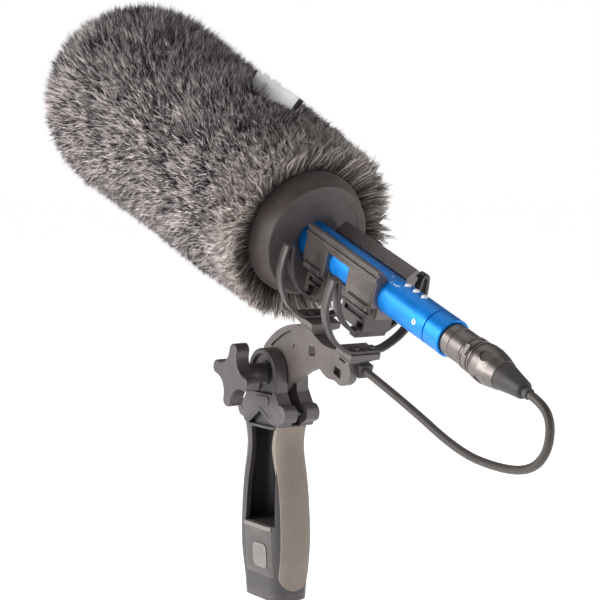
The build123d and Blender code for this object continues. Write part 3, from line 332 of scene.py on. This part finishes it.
LOOKS = {
    "grip_plastic": moulded("grip_plastic", (0.034, 0.029, 0.030), 0.42),
    "clamp_plastic": moulded("clamp_plastic", (0.050, 0.041, 0.041), 0.36, edge=0.6),
    "bar_plastic": moulded("bar_plastic", (0.070, 0.058, 0.056), 0.46, edge=0.4),
    "cover_plastic": moulded("cover_plastic", (0.066, 0.060, 0.058), 0.6, grain=0.7, depth=0.05),
    "light_trim": moulded("light_trim", (0.155, 0.142, 0.133), 0.42, worn=0.1, grain=0.5),
    "cradle_plastic": moulded(
        "cradle_plastic", (0.095, 0.082, 0.080), 0.24, depth=0.006, edge=0.9, metallic=0.6
    ),
    "lyre_plastic": moulded("lyre_plastic", (0.036, 0.029, 0.027), 0.34, depth=0.006),
    "soft_black": moulded("soft_black", (0.03, 0.028, 0.028), 0.6),
    "grip_rubber": rubbery("grip_rubber", (0.215, 0.178, 0.150), mottle=0.07),
    "collar_rubber": rubbery(
        "collar_rubber", (0.072, 0.055, 0.053), 0.44, grain=0.3, depth=0.012, edge=0.9
    ),
    "plug_boot_rubber": rubbery("plug_boot_rubber", (0.035, 0.03, 0.029), 0.5),
    "cable_rubber": rubbery("cable_rubber", (0.045, 0.036, 0.032), 0.42, depth=0.01),
    "blue_anodised": turned_metal("blue_anodised", (0.0, 0.205, 0.67), 0.34, metallic=0.5),
    "capsule_metal": turned_metal("capsule_metal", (0.45, 0.45, 0.46), 0.35),
    "plug_black": turned_metal("plug_black", (0.155, 0.135, 0.128), 0.3, metallic=0.75),
    "dark_steel": small_metal("dark_steel", (0.10, 0.10, 0.105), 0.4),
    "brass_thread": small_metal("brass_thread", (0.72, 0.52, 0.24), 0.3),
    "pin_metal": small_metal("pin_metal", (0.83, 0.66, 0.33), 0.25),
    "board_laminate": laminate("board_laminate"),
    "led_lens": lens_plastic("led_lens"),
    "white_mark": paint("white_mark", (0.82, 0.85, 0.88)),
    "foam": open_foam("foam", (0.06, 0.058, 0.06)),
    "fur": pile_look("fur"),
    "tag_cloth": woven("tag_cloth", (0.93, 0.91, 0.91), 0.36),
    "binding_cloth": woven("binding_cloth", (0.022, 0.020, 0.021), 0.5),
}


def dress(piece, slot):
    """Gives a new piece the material of this slot."""
    piece.data.materials.append(LOOKS[slot])
    return piece


slot_of = {part["node"]: part["material_slot"] for part in frame["record"]["subparts"]}
for name, node in frame["nodes"].items():
    for holder in node.material_slots:
        holder.link = "OBJECT"
        holder.material = LOOKS[slot_of[name]]


# ---------------------------------------------------------------- mesh helpers
def mesh_piece(name, points, faces, smooth=True, **attributes):
    """A mesh object from points in metres. Each attribute is one vector a point."""
    mesh = bpy.data.meshes.new(name)
    mesh.from_pydata([tuple(p) for p in points], [], faces)
    mesh.shade_smooth() if smooth else mesh.shade_flat()
    for key, values in attributes.items():
        layer = mesh.attributes.new(key, "FLOAT_VECTOR", "POINT")
        layer.data.foreach_set("vector", np.asarray(values, np.float32).ravel())
    mesh.update()
    return link_piece(name, mesh)


def link_piece(name, mesh):
    piece = bpy.data.objects.new(name, mesh)
    bpy.context.scene.collection.objects.link(piece)
    return piece


def ring_faces(rings, size, closed_rings=False):
    """Quads between rings of points, and a cap at each end unless the rings close on themselves."""
    faces = []
    for i in range(rings if closed_rings else rings - 1):
        a, b = i * size, (i + 1) % rings * size
        faces += [(a + k, a + (k + 1) % size, b + (k + 1) % size, b + k) for k in range(size)]
    if not closed_rings:
        faces.append(tuple(reversed(range(size))))
        faces.append(tuple(range((rings - 1) * size, rings * size)))
    return faces


def turned(name, outline, steps=96):
    """A body turned about the microphone axis from a closed outline of (t, r) points."""
    points = []
    for k in range(steps):
        points += [around(t, 2 * math.pi * k / steps, r) for t, r in outline]
    return mesh_piece(name, points, ring_faces(steps, len(outline), closed_rings=True))


def dome_outline(r, steps=20):
    """(t, r) points from the cylinder to the top of the nose, stopping just short of the axis."""
    angles = [math.pi / 2 * k / steps for k in range(steps + 1)]
    return [(DOME_T + r * math.sin(a), max(r * math.cos(a), 0.02)) for a in angles]


def smooth_path(points, per_run=8):
    """A smooth line through points, with even tangents at each of them."""
    knots = np.array([points[0], *points, points[-1]], float)
    path = []
    for p0, p1, p2, p3 in zip(knots, knots[1:], knots[2:], knots[3:]):
        for s in np.arange(per_run) / per_run:
            bend = 2 * p1 + (p2 - p0) * s + (2 * p0 - 5 * p1 + 4 * p2 - p3) * s**2
            path.append((bend + (3 * p1 - p0 - 3 * p2 + p3) * s**3) / 2)
    return [*path, knots[-1]]


# ---------------------------------------------------------------- cable
def make_cable():
    curve = bpy.data.curves.new("cable_lead", "CURVE")
    curve.dimensions = "3D"
    curve.bevel_depth, curve.bevel_resolution = CABLE_R * MM, 6
    curve.resolution_u, curve.use_fill_caps = 16, True
    spline = curve.splines.new("NURBS")
    spline.points.add(len(CABLE_ROUTE) - 1)
    for point, spot in zip(spline.points, CABLE_ROUTE):
        point.co = (*at(*spot), 1.0)
    spline.use_endpoint_u = True
    spline.order_u = 3
    piece = dress(link_piece("cable_lead", curve), "cable_rubber")
    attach(piece, "microphone")
    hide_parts("cable")


make_cable()


# ---------------------------------------------------------------- lyres
def ribbon(path, width, depth, t, corner=0.75, corner_steps=3):
    """A rounded flat strip that follows (x, h) points of a plane square to the microphone."""
    path = np.array(path, float)
    along = np.gradient(path, axis=0)
    along /= np.linalg.norm(along, axis=1)[:, None]
    side = np.stack([-along[:, 1], along[:, 0]], axis=1)
    outline = []
    for k, (sx, sy) in enumerate(((1, 1), (-1, 1), (-1, -1), (1, -1))):
        for j in range(corner_steps + 1):
            a = math.pi / 2 * (k + j / corner_steps)
            x = sx * (width / 2 - corner) + corner * math.cos(a)
            outline.append((x, sy * (depth / 2 - corner) + corner * math.sin(a)))
    points = []
    for (x, h), (nx, nh) in zip(path, side):
        points += [at(x + nx * u, t + v, MIC_N + h + nh * u) for u, v in outline]
    return points, ring_faces(len(path), len(outline))


def joined(name, parts):
    """One piece from several (points, faces) parts."""
    points, faces = [], []
    for more, own in parts:
        faces += [tuple(i + len(points) for i in face) for face in own]
        points += more
    return mesh_piece(name, points, faces)


def make_lyre(node, t):
    """The outer strands, on the bar's side, and the inner strands, on the clip's side, as two pieces; they meet
    half way at the tips.
    """
    outer_h, inner_h = OUTER_FLAT_H + STRAND / 2, INNER_FLAT_H + STRAND / 2 + 0.7
    outer, inner = [], []
    top = TIP_H + TIP_BEND_R
    for side in (-1, 1):
        arm = [(-0.4, outer_h), (9.0, outer_h), *OUTER_ARM, (TIP_X + TIP_BEND_R, TIP_H)]
        quarter = [math.pi / 2 * k / 6 for k in range(1, 7)]
        rise = [(TIP_X + TIP_BEND_R * math.cos(a), TIP_H + TIP_BEND_R * math.sin(a)) for a in quarter]
        fall = [(TIP_X - TIP_BEND_R * math.sin(a), TIP_H + TIP_BEND_R * math.cos(a)) for a in quarter]
        up = [*smooth_path(arm), *rise]
        down = [(TIP_X, top), *fall[:-1], *smooth_path([fall[-1], *INNER_ARM, (9.0, inner_h)])]
        outer.append(ribbon([(side * x, h) for x, h in up], STRAND, LYRE_DEPTH, t))
        inner.append(ribbon([(side * x, h) for x, h in down], STRAND, LYRE_DEPTH, t))
    flat_h = INNER_FLAT_H + INNER_FLAT_THICK / 2
    inner.append(ribbon([(-10.2, flat_h), (10.2, flat_h)], INNER_FLAT_THICK, LYRE_DEPTH, t))
    reach = top - OUTER_FLAT_H
    rest = INNER_FLAT_H + INNER_FLAT_THICK
    for part, pieces, first, last in (
        ("outer", outer, OUTER_FLAT_H, top + reach),
        ("inner", inner, 2 * top - rest, rest),
    ):
        strand = dress(joined(f"{node}_{part}", pieces), "lyre_plastic")
        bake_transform(strand)
        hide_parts(node)


for lyre_node, lyre_t in LYRE_T.items():
    make_lyre(lyre_node, lyre_t)


# ---------------------------------------------------------------- marks on the microphone
MARK_LIFT, MARK_THICK = 0.02, 0.12


def mark(ends, width):
    """A thin printed stroke on the microphone between (t, degrees) points."""
    path = [(t, math.radians(a) * MIC_R) for t, a in ends]
    steps = []
    for (t0, s0), (t1, s1) in zip(path, path[1:]):
        steps += [(t0 + (t1 - t0) * k / 4, s0 + (s1 - s0) * k / 4) for k in range(4)]
    steps.append(path[-1])
    line = np.array(steps)
    along = np.gradient(line, axis=0)
    along /= np.linalg.norm(along, axis=1)[:, None]
    points = []
    for (t, s), (dt, ds) in zip(line, along):
        for u, r in ((1, MARK_LIFT), (-1, MARK_LIFT), (-1, MARK_THICK), (1, MARK_THICK)):
            spot_t, spot_s = t - u * width / 2 * ds, s + u * width / 2 * dt
            points.append(around(spot_t, spot_s / MIC_R, MIC_R + r))
    return points, ring_faces(len(line), 4)


# A short dash, a stem with a step and a bent line stand for the switch symbols, with a dot by each button.
SYMBOLS = [
    [(-84.0, -9.0), (-86.4, -9.0)],
    [(-83.5, -33.0), (-86.0, -30.0)],
    [(-89.5, -36.0), (-89.5, -24.0)],
    [(-91.5, -30.0), (-94.5, -30.0), (-96.2, -24.0)],
]
DOTS = [(t, -12.0) for t in (-97.5, -105.0, -112.5)]


def make_marks():
    parts = [mark(symbol, 0.42) for symbol in SYMBOLS]
    parts += [mark([(t - 0.4, a), (t + 0.4, a)], 0.7) for t, a in DOTS]
    prints = dress(joined("microphone_marks", parts), "white_mark")
    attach(prints, "microphone")


make_marks()


# ---------------------------------------------------------------- windscreen
def make_foam():
    """The foam body under the fur, bored for the microphone, with a slightly uneven skin."""
    outline = [(FOAM_BACK_T, MIC_R + 0.1), (BORE_END_T, MIC_R + 0.1), (BORE_END_T, 0.02)]
    outline += list(reversed(dome_outline(FOAM_R - 0.3)))
    outline += [(DOME_T * (1 - k / 24) + FOAM_BACK_T * k / 24, FOAM_R - 0.3) for k in range(1, 24)]
    outline += [(FOAM_BACK_T + 1.0, FOAM_R - 0.3), (FOAM_BACK_T, FOAM_R - 1.3)]
    foam = turned("foam_body", outline)
    dress(foam, "foam")
    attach(foam, "windscreen")
    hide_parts("foam_core")


BACKING_R, BACKING_THICK = 37.9, 0.9


def make_backing():
    """The knitted tube that the pile is sewn into, closed at the nose."""
    outer = dome_outline(BACKING_R)
    inner = dome_outline(BACKING_R - BACKING_THICK)
    back = FOAM_BACK_T + 0.4
    outline = [(back, BACKING_R), *outer, *reversed(inner), (back, BACKING_R - BACKING_THICK)]
    backing = turned("fur_backing", outline)
    place = backing.data.attributes.new("cloth", "FLOAT_VECTOR", "POINT")
    width = 2 * math.pi * BACKING_R
    cloth = [(width * (i // len(outline)) / 96, outline[i % len(outline)][0], 0.0)
             for i in range(len(backing.data.vertices))]
    place.data.foreach_set("vector", np.array(cloth, np.float32).ravel())
    dress(backing, "binding_cloth")
    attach(backing, "windscreen")
    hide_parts("fur_cover")


FUR_AXIS_UP = ACROSS * math.sin(FUR_SIDE) + OVER * math.cos(FUR_SIDE)
FUR_DIR = (ALONG + FUR_AXIS_UP * math.tan(FUR_TILT)).normalized()
FUR_UP = ACROSS.cross(FUR_DIR).normalized()
TAG_OUT = FUR_DIR.cross(FUR_UP) * math.sin(TAG_ANGLE) + FUR_UP * math.cos(TAG_ANGLE)
TAG_SIDE = FUR_DIR.cross(TAG_OUT)  # away from the tag's face

# the pile
TUFTS = 27000
FIBRES = 8  # in a tuft
PILE_PIECES = 14
GOLDEN = math.pi * (3 - math.sqrt(5))
ROOT_WIDTH, KNEE_WIDTH = 0.42, 0.62
KNEE = 0.66  # how far up a fibre it bends
KNEE_BOW = 0.45  # how much of a tuft's sideways drift its knees make good
TUFT_ROOT, TUFT_KNEE, TUFT_TIP = 1.6, 0.95, 0.65  # how far fibres of one tuft lie from its middle
TUFT_SWIRL, TUFT_STRAY = 1.5, 2.8  # how far tips lean together, and each by itself
LEAN_BACK, LEAN_BACK_T = math.radians(15.0), 16.0  # the pile by the collar leans back over it
ENVELOPE_T = (6.0, 70.0, 125.0, DOME_T)
ENVELOPE_R = (FUR_BACK_R, FUR_MID_R, FUR_MID_R + 1.0, FUR_NOSE_R)
REAR_TINT_T = 34.0
BRIGHT_SHARE, BRIGHT_LIFT = 0.24, 0.5  # how many fibres are pale ones, and by how much
COMBED_SLANT, COMBED_R = 1.3, (51.0, 43.0)  # the pile before the tag is combed down at a slant, this low


def swirl_field(spots, seed):
    """A smooth random vector across the pile, from a few crossing waves."""
    waves = np.random.default_rng(seed)
    total = np.zeros(len(spots))
    for size in (34.0, 21.0, 13.0, 9.0):
        for _ in range(3):
            direction = waves.normal(size=3)
            direction /= np.linalg.norm(direction)
            total += np.sin(spots @ direction * 2 * math.pi / size + waves.uniform(0, 2 * math.pi))
    return total / math.sqrt(6)


def unit(vectors):
    return vectors / np.linalg.norm(vectors, axis=1)[:, None]


def part_at_tag(spots, foot, uneven):
    """Moves points, in millimetres, off the tag, and combs down the pile that would hide its face."""
    from_foot = spots - foot
    t = from_foot @ np.array(FUR_DIR)
    out, side = np.array(TAG_OUT), np.array(TAG_SIDE)
    r, before = from_foot @ out, -(from_foot @ side) - TAG_OFF_AXIS
    beside = (np.abs(t - TAG_T - TAG_L / 2) < TAG_L / 2 + 1.0) & (r > TAG_FOOT_R - 2.0)
    near = beside & (np.abs(before) < TAG_THICK)
    spots[near] += side * (before + np.where(before > 0, -TAG_THICK, TAG_THICK))[near][:, None]
    covered = t + COMBED_SLANT * before - TAG_T
    low = np.interp(covered, [0.0, TAG_L], COMBED_R) + uneven
    combed = (before > 0) & (covered > -1.5) & (covered < TAG_L + 1.0) & (r > low)
    spots[combed] -= out * (r - low)[combed][:, None]


def lay_tufts(chance):
    """Roots, tips, side and forward directions, drift, sway, shade and rear tint of every tuft."""
    along, across, over = (np.array(v) for v in (ALONG, ACROSS, OVER))
    mic_foot = np.array(PIVOT) + over * MIC_N
    fur_foot = mic_foot + np.array(FUR_AXIS_UP) * FUR_LIFT

    # an even spiral of roots, along the tube and then over the nose
    index = np.arange(TUFTS)
    tube = DOME_T - FUR_BACK_T
    travel = (index + 0.5) / TUFTS * (tube + FUR_NOSE_R) + chance.normal(0, 0.5, TUFTS)
    travel = np.clip(travel, 0.0, tube + FUR_NOSE_R - 0.01)
    angle = index * GOLDEN + chance.normal(0, 0.012, TUFTS)
    spoke = np.sin(angle)[:, None] * across + np.cos(angle)[:, None] * over
    rise = np.clip((travel - tube) / FUR_NOSE_R, 0.0, 1.0)
    out = spoke * np.sqrt(1 - rise**2)[:, None] + along * rise[:, None]
    round_about = np.cos(angle)[:, None] * across - np.sin(angle)[:, None] * over
    forward = unit(np.cross(round_about, out)) * -1.0
    forward *= np.sign(forward @ along)[:, None]

    t = np.minimum(travel, tube) + FUR_BACK_T
    envelope = np.interp(t, ENVELOPE_T, ENVELOPE_R) * (1 + NOSE_BLUNT * 4 * rise**2 * (1 - rise**2))
    fur_dir = np.array(FUR_DIR)
    tip = fur_foot + fur_dir * (t / (fur_dir @ along))[:, None] + out * envelope[:, None]
    root = mic_foot + along * np.maximum(t, FOAM_BACK_T + 1.5)[:, None] + out * (BACKING_R - 0.4)

    back_lean = LEAN_BACK * np.clip(1 - travel / LEAN_BACK_T, 0, 1) ** 1.3
    height = np.linalg.norm(tip - root, axis=1)
    tip -= along * (height * np.tan(back_lean))[:, None]
    tip += (tip - root) * (chance.normal(-0.045, 0.035, TUFTS))[:, None]
    drift = TUFT_SWIRL * swirl_field(tip, 11) + chance.normal(0, TUFT_STRAY, TUFTS)
    sway = TUFT_SWIRL * swirl_field(tip, 12) + chance.normal(0, TUFT_STRAY, TUFTS)
    tip += round_about * drift[:, None] + forward * sway[:, None]

    shade = chance.normal(0.36, 0.16, TUFTS) + 0.07 * swirl_field(root, 13)
    rear = np.clip(1 - travel / REAR_TINT_T, 0, 1) * np.clip(chance.normal(0.8, 0.2, TUFTS), 0, 1)
    return root, tip, round_about, forward, drift, sway, shade, rear, angle


def split_tufts(chance, root, tip, round_about, forward, drift, sway):
    """Root, knee and tip of every fibre of every tuft, in millimetres."""
    every = np.repeat(np.arange(TUFTS), FIBRES)
    count = len(every)

    def scatter(centre, size):
        side = round_about[every] * chance.normal(0, size, count)[:, None]
        return centre[every] + side + forward[every] * chance.normal(0, size, count)[:, None]

    knee = root + (tip - root) * KNEE
    knee -= round_about * (KNEE_BOW * drift)[:, None] + forward * (KNEE_BOW * sway)[:, None]
    roots = scatter(root, TUFT_ROOT)
    knees = scatter(knee, TUFT_KNEE)
    tips = scatter(tip, TUFT_TIP)
    tips += (tips - knees) * chance.normal(0.0, 0.14, count)[:, None]

    along = np.array(ALONG)
    mic_foot = np.array(PIVOT + OVER * MIC_N)
    uneven = np.abs(chance.normal(0, 1.5, count))
    for spots in (knees, tips):
        part_at_tag(spots, mic_foot + np.array(FUR_AXIS_UP) * FUR_LIFT, uneven)
    roots += along * np.maximum(0.0, FOAM_BACK_T + 1.2 - (roots - mic_foot) @ along)[:, None]
    return roots, knees, tips


def fibre_points(chance, roots, knees, tips):
    """Seven points in metres for each fibre: three round its root, three round its knee, and its tip."""
    count = len(roots)
    line = unit(tips - roots)
    first = unit(np.cross(line, unit(chance.normal(size=(count, 3)))))
    second = np.cross(line, first)
    width = chance.uniform(0.75, 1.3, count)
    points = np.zeros((count, 7, 3))
    for k in range(3):
        a = 2 * math.pi * k / 3
        spread = (first * math.cos(a) + second * math.sin(a)) * width[:, None] / 2
        points[:, k] = roots + spread * ROOT_WIDTH
        points[:, 3 + k] = knees + spread * KNEE_WIDTH
    points[:, 6] = tips
    return points * MM


def fibre_mesh(name, points, pile):
    """One mesh of many fibres, with the height, shade and rear tint of each point as its pile attribute."""
    sides = []
    for k in range(3):
        n = (k + 1) % 3
        sides += [(k, n, 3 + n), (k, 3 + n, 3 + k), (3 + k, 3 + n, 6)]
    fibre = np.array([*sides, (0, 2, 1)])
    faces = (fibre[None] + 7 * np.arange(len(points))[:, None, None]).reshape(-1, 3)
    mesh = bpy.data.meshes.new(name)
    mesh.vertices.add(7 * len(points))
    mesh.vertices.foreach_set("co", points.astype(np.float32).ravel())
    mesh.loops.add(3 * len(faces))
    mesh.loops.foreach_set("vertex_index", faces.ravel().astype(np.int32))
    mesh.polygons.add(len(faces))
    mesh.polygons.foreach_set("loop_start", np.arange(0, 3 * len(faces), 3, dtype=np.int32))
    mesh.update(calc_edges=True)
    mesh.shade_smooth()
    layer = mesh.attributes.new("pile", "FLOAT_VECTOR", "POINT")
    layer.data.foreach_set("vector", pile.astype(np.float32).ravel())
    return mesh


def make_pile():
    """Tufts of tapered fibres over the whole windscreen, in sectors round its axis."""
    chance = np.random.default_rng(7)
    *tufts, shade, rear, angle = lay_tufts(chance)
    roots, knees, tips = split_tufts(chance, *tufts)
    points = fibre_points(chance, roots, knees, tips)

    every = np.repeat(np.arange(TUFTS), FIBRES)
    count = len(every)
    pile = np.zeros((count, 7, 3))
    pile[:, 3:6, 0] = KNEE
    pile[:, 6, 0] = 1.0
    bright = chance.uniform(size=count) < BRIGHT_SHARE
    fibre_shade = shade[every] + chance.normal(0, 0.12, count) + np.where(bright, BRIGHT_LIFT, 0.0)
    pile[:, :, 1] = np.clip(fibre_shade, 0, 1)[:, None]
    pile[:, :, 2] = rear[every][:, None]

    sector = np.floor((angle % (2 * math.pi)) / (2 * math.pi) * PILE_PIECES).astype(int)
    sector = np.minimum(sector, PILE_PIECES - 1)[every]
    for k in range(PILE_PIECES):
        chosen = sector == k
        mesh = fibre_mesh(f"fur_pile_{k + 1:02d}", points[chosen], pile[chosen])
        piece = dress(link_piece(mesh.name, mesh), "fur")
        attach(piece, "windscreen")
        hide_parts("fur_cover")


make_foam()
make_backing()
make_pile()


# ---------------------------------------------------------------- tag
def tag_strip(name, slot, t0, t1, back, front, lines, columns):
    """A slab of cloth standing in the pile, with two faces and a slow ripple."""
    foot = PIVOT + OVER * MIC_N + FUR_AXIS_UP * FUR_LIFT
    points, cloth = [], []
    for face in (front, back):
        for i in range(columns + 1):
            for j in range(lines + 1):
                t = t0 + (t1 - t0) * i / columns
                r = TAG_FOOT_R + (TAG_TOP_R - TAG_FOOT_R) * j / lines
                ripple = 0.35 * math.sin(t / 6.3 + r / 9.0) + 0.25 * math.sin(t / 3.1 - r / 5.0)
                aside = TAG_SIDE * (face - TAG_OFF_AXIS + ripple)
                points.append((foot + FUR_DIR * t + TAG_OUT * r + aside) * MM)
                cloth.append((t, r, face))
    size = (columns + 1) * (lines + 1)
    faces = []
    for i in range(columns):
        for j in range(lines):
            a, b = i * (lines + 1) + j, (i + 1) * (lines + 1) + j
            faces.append((a, a + 1, b + 1, b))
            faces.append((a + size, b + size, b + 1 + size, a + 1 + size))
    rim = [j for j in range(lines + 1)] + [i * (lines + 1) + lines for i in range(1, columns + 1)]
    rim += [columns * (lines + 1) + j for j in range(lines - 1, -1, -1)]
    rim += [i * (lines + 1) for i in range(columns - 1, 0, -1)]
    faces += [(a, a + size, b + size, b) for a, b in zip(rim, rim[1:] + rim[:1])]
    return dress(mesh_piece(name, points, faces, cloth=cloth), slot)


def make_tag():
    half = TAG_THICK / 2
    tag = tag_strip("tag", "tag_cloth", TAG_T, TAG_T + TAG_L, half, -half, 24, 57)
    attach(tag, "windscreen")
    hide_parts("fabric_tag")
    for number, t0 in enumerate((TAG_T - 0.4, TAG_T + TAG_L - BINDING_L + 0.4), 1):
        tape = tag_strip(f"tag_binding_{number}", "binding_cloth", t0, t0 + BINDING_L,
                         half + BINDING_THICK, -half - BINDING_THICK, 24, 6)
        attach(tape, "windscreen")
        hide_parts("tag_bindings")


make_tag()


# ---------------------------------------------------------------- stage and light, in metres and watts
FLOOR_REACH, FLOOR_GLOW = 60.0, 0.84  # the glow keeps the far floor as pale as the background
FLOOR_DROP = 0.06
AMBIENT = 0.17


def make_stage():
    floor_look = Look("floor_paint", roughness=0.9, specular=0.1)
    mottle = floor_look.noise(400.0)
    floor_look.shade("Base Color", floor_look.blend(mottle, (0.91, 0.91, 0.91), (0.94, 0.94, 0.94)))
    floor_look.shade("Emission Color", (1.0, 1.0, 1.0, 1.0))
    floor_look.shade("Emission Strength", FLOOR_GLOW)
    reach, low = FLOOR_REACH, -FLOOR_DROP
    corners = [(-reach, -reach, low), (reach, -reach, low), (reach, reach, low), (-reach, reach, low)]
    floor = mesh_piece("floor", corners, [(0, 1, 2, 3)])
    floor.data.materials.append(floor_look.material)


def area_light(name, spot, target, size, power):
    lamp = bpy.data.lights.new(name, "AREA")
    lamp.shape, lamp.size, lamp.size_y = "RECTANGLE", size[0], size[1]
    lamp.energy = power
    holder = bpy.data.objects.new(name, lamp)
    bpy.context.scene.collection.objects.link(holder)
    holder.location = spot
    holder.rotation_euler = (Vector(target) - Vector(spot)).to_track_quat("-Z", "Y").to_euler()


def make_light():
    world = bpy.data.worlds.new("studio")
    bpy.context.scene.world = world
    world.use_nodes = True
    nodes, links = world.node_tree.nodes, world.node_tree.links
    background = nodes["Background"]
    background.inputs["Color"].default_value = (1.0, 1.0, 1.0, 1.0)
    path = nodes.new("ShaderNodeLightPath")
    level = nodes.new("ShaderNodeMapRange")
    level.inputs["To Min"].default_value, level.inputs["To Max"].default_value = AMBIENT, 1.0
    links.new(path.outputs["Is Camera Ray"], level.inputs["Value"])
    links.new(level.outputs[0], background.inputs["Strength"])
    middle = (0.0, 0.0, 0.22)
    area_light("left", (-1.2, 0.35, 0.45), middle, (0.9, 1.1), 24.0)
    area_light("right", (0.85, -0.95, 0.45), middle, (0.7, 1.1), 6.5)
    area_light("front", (-1.2, -0.9, 0.7), middle, (0.6, 0.9), 1.5)
    area_light("top", (0.2, 0.3, 1.6), middle, (1.2, 1.2), 3.0)


make_stage()
make_light()
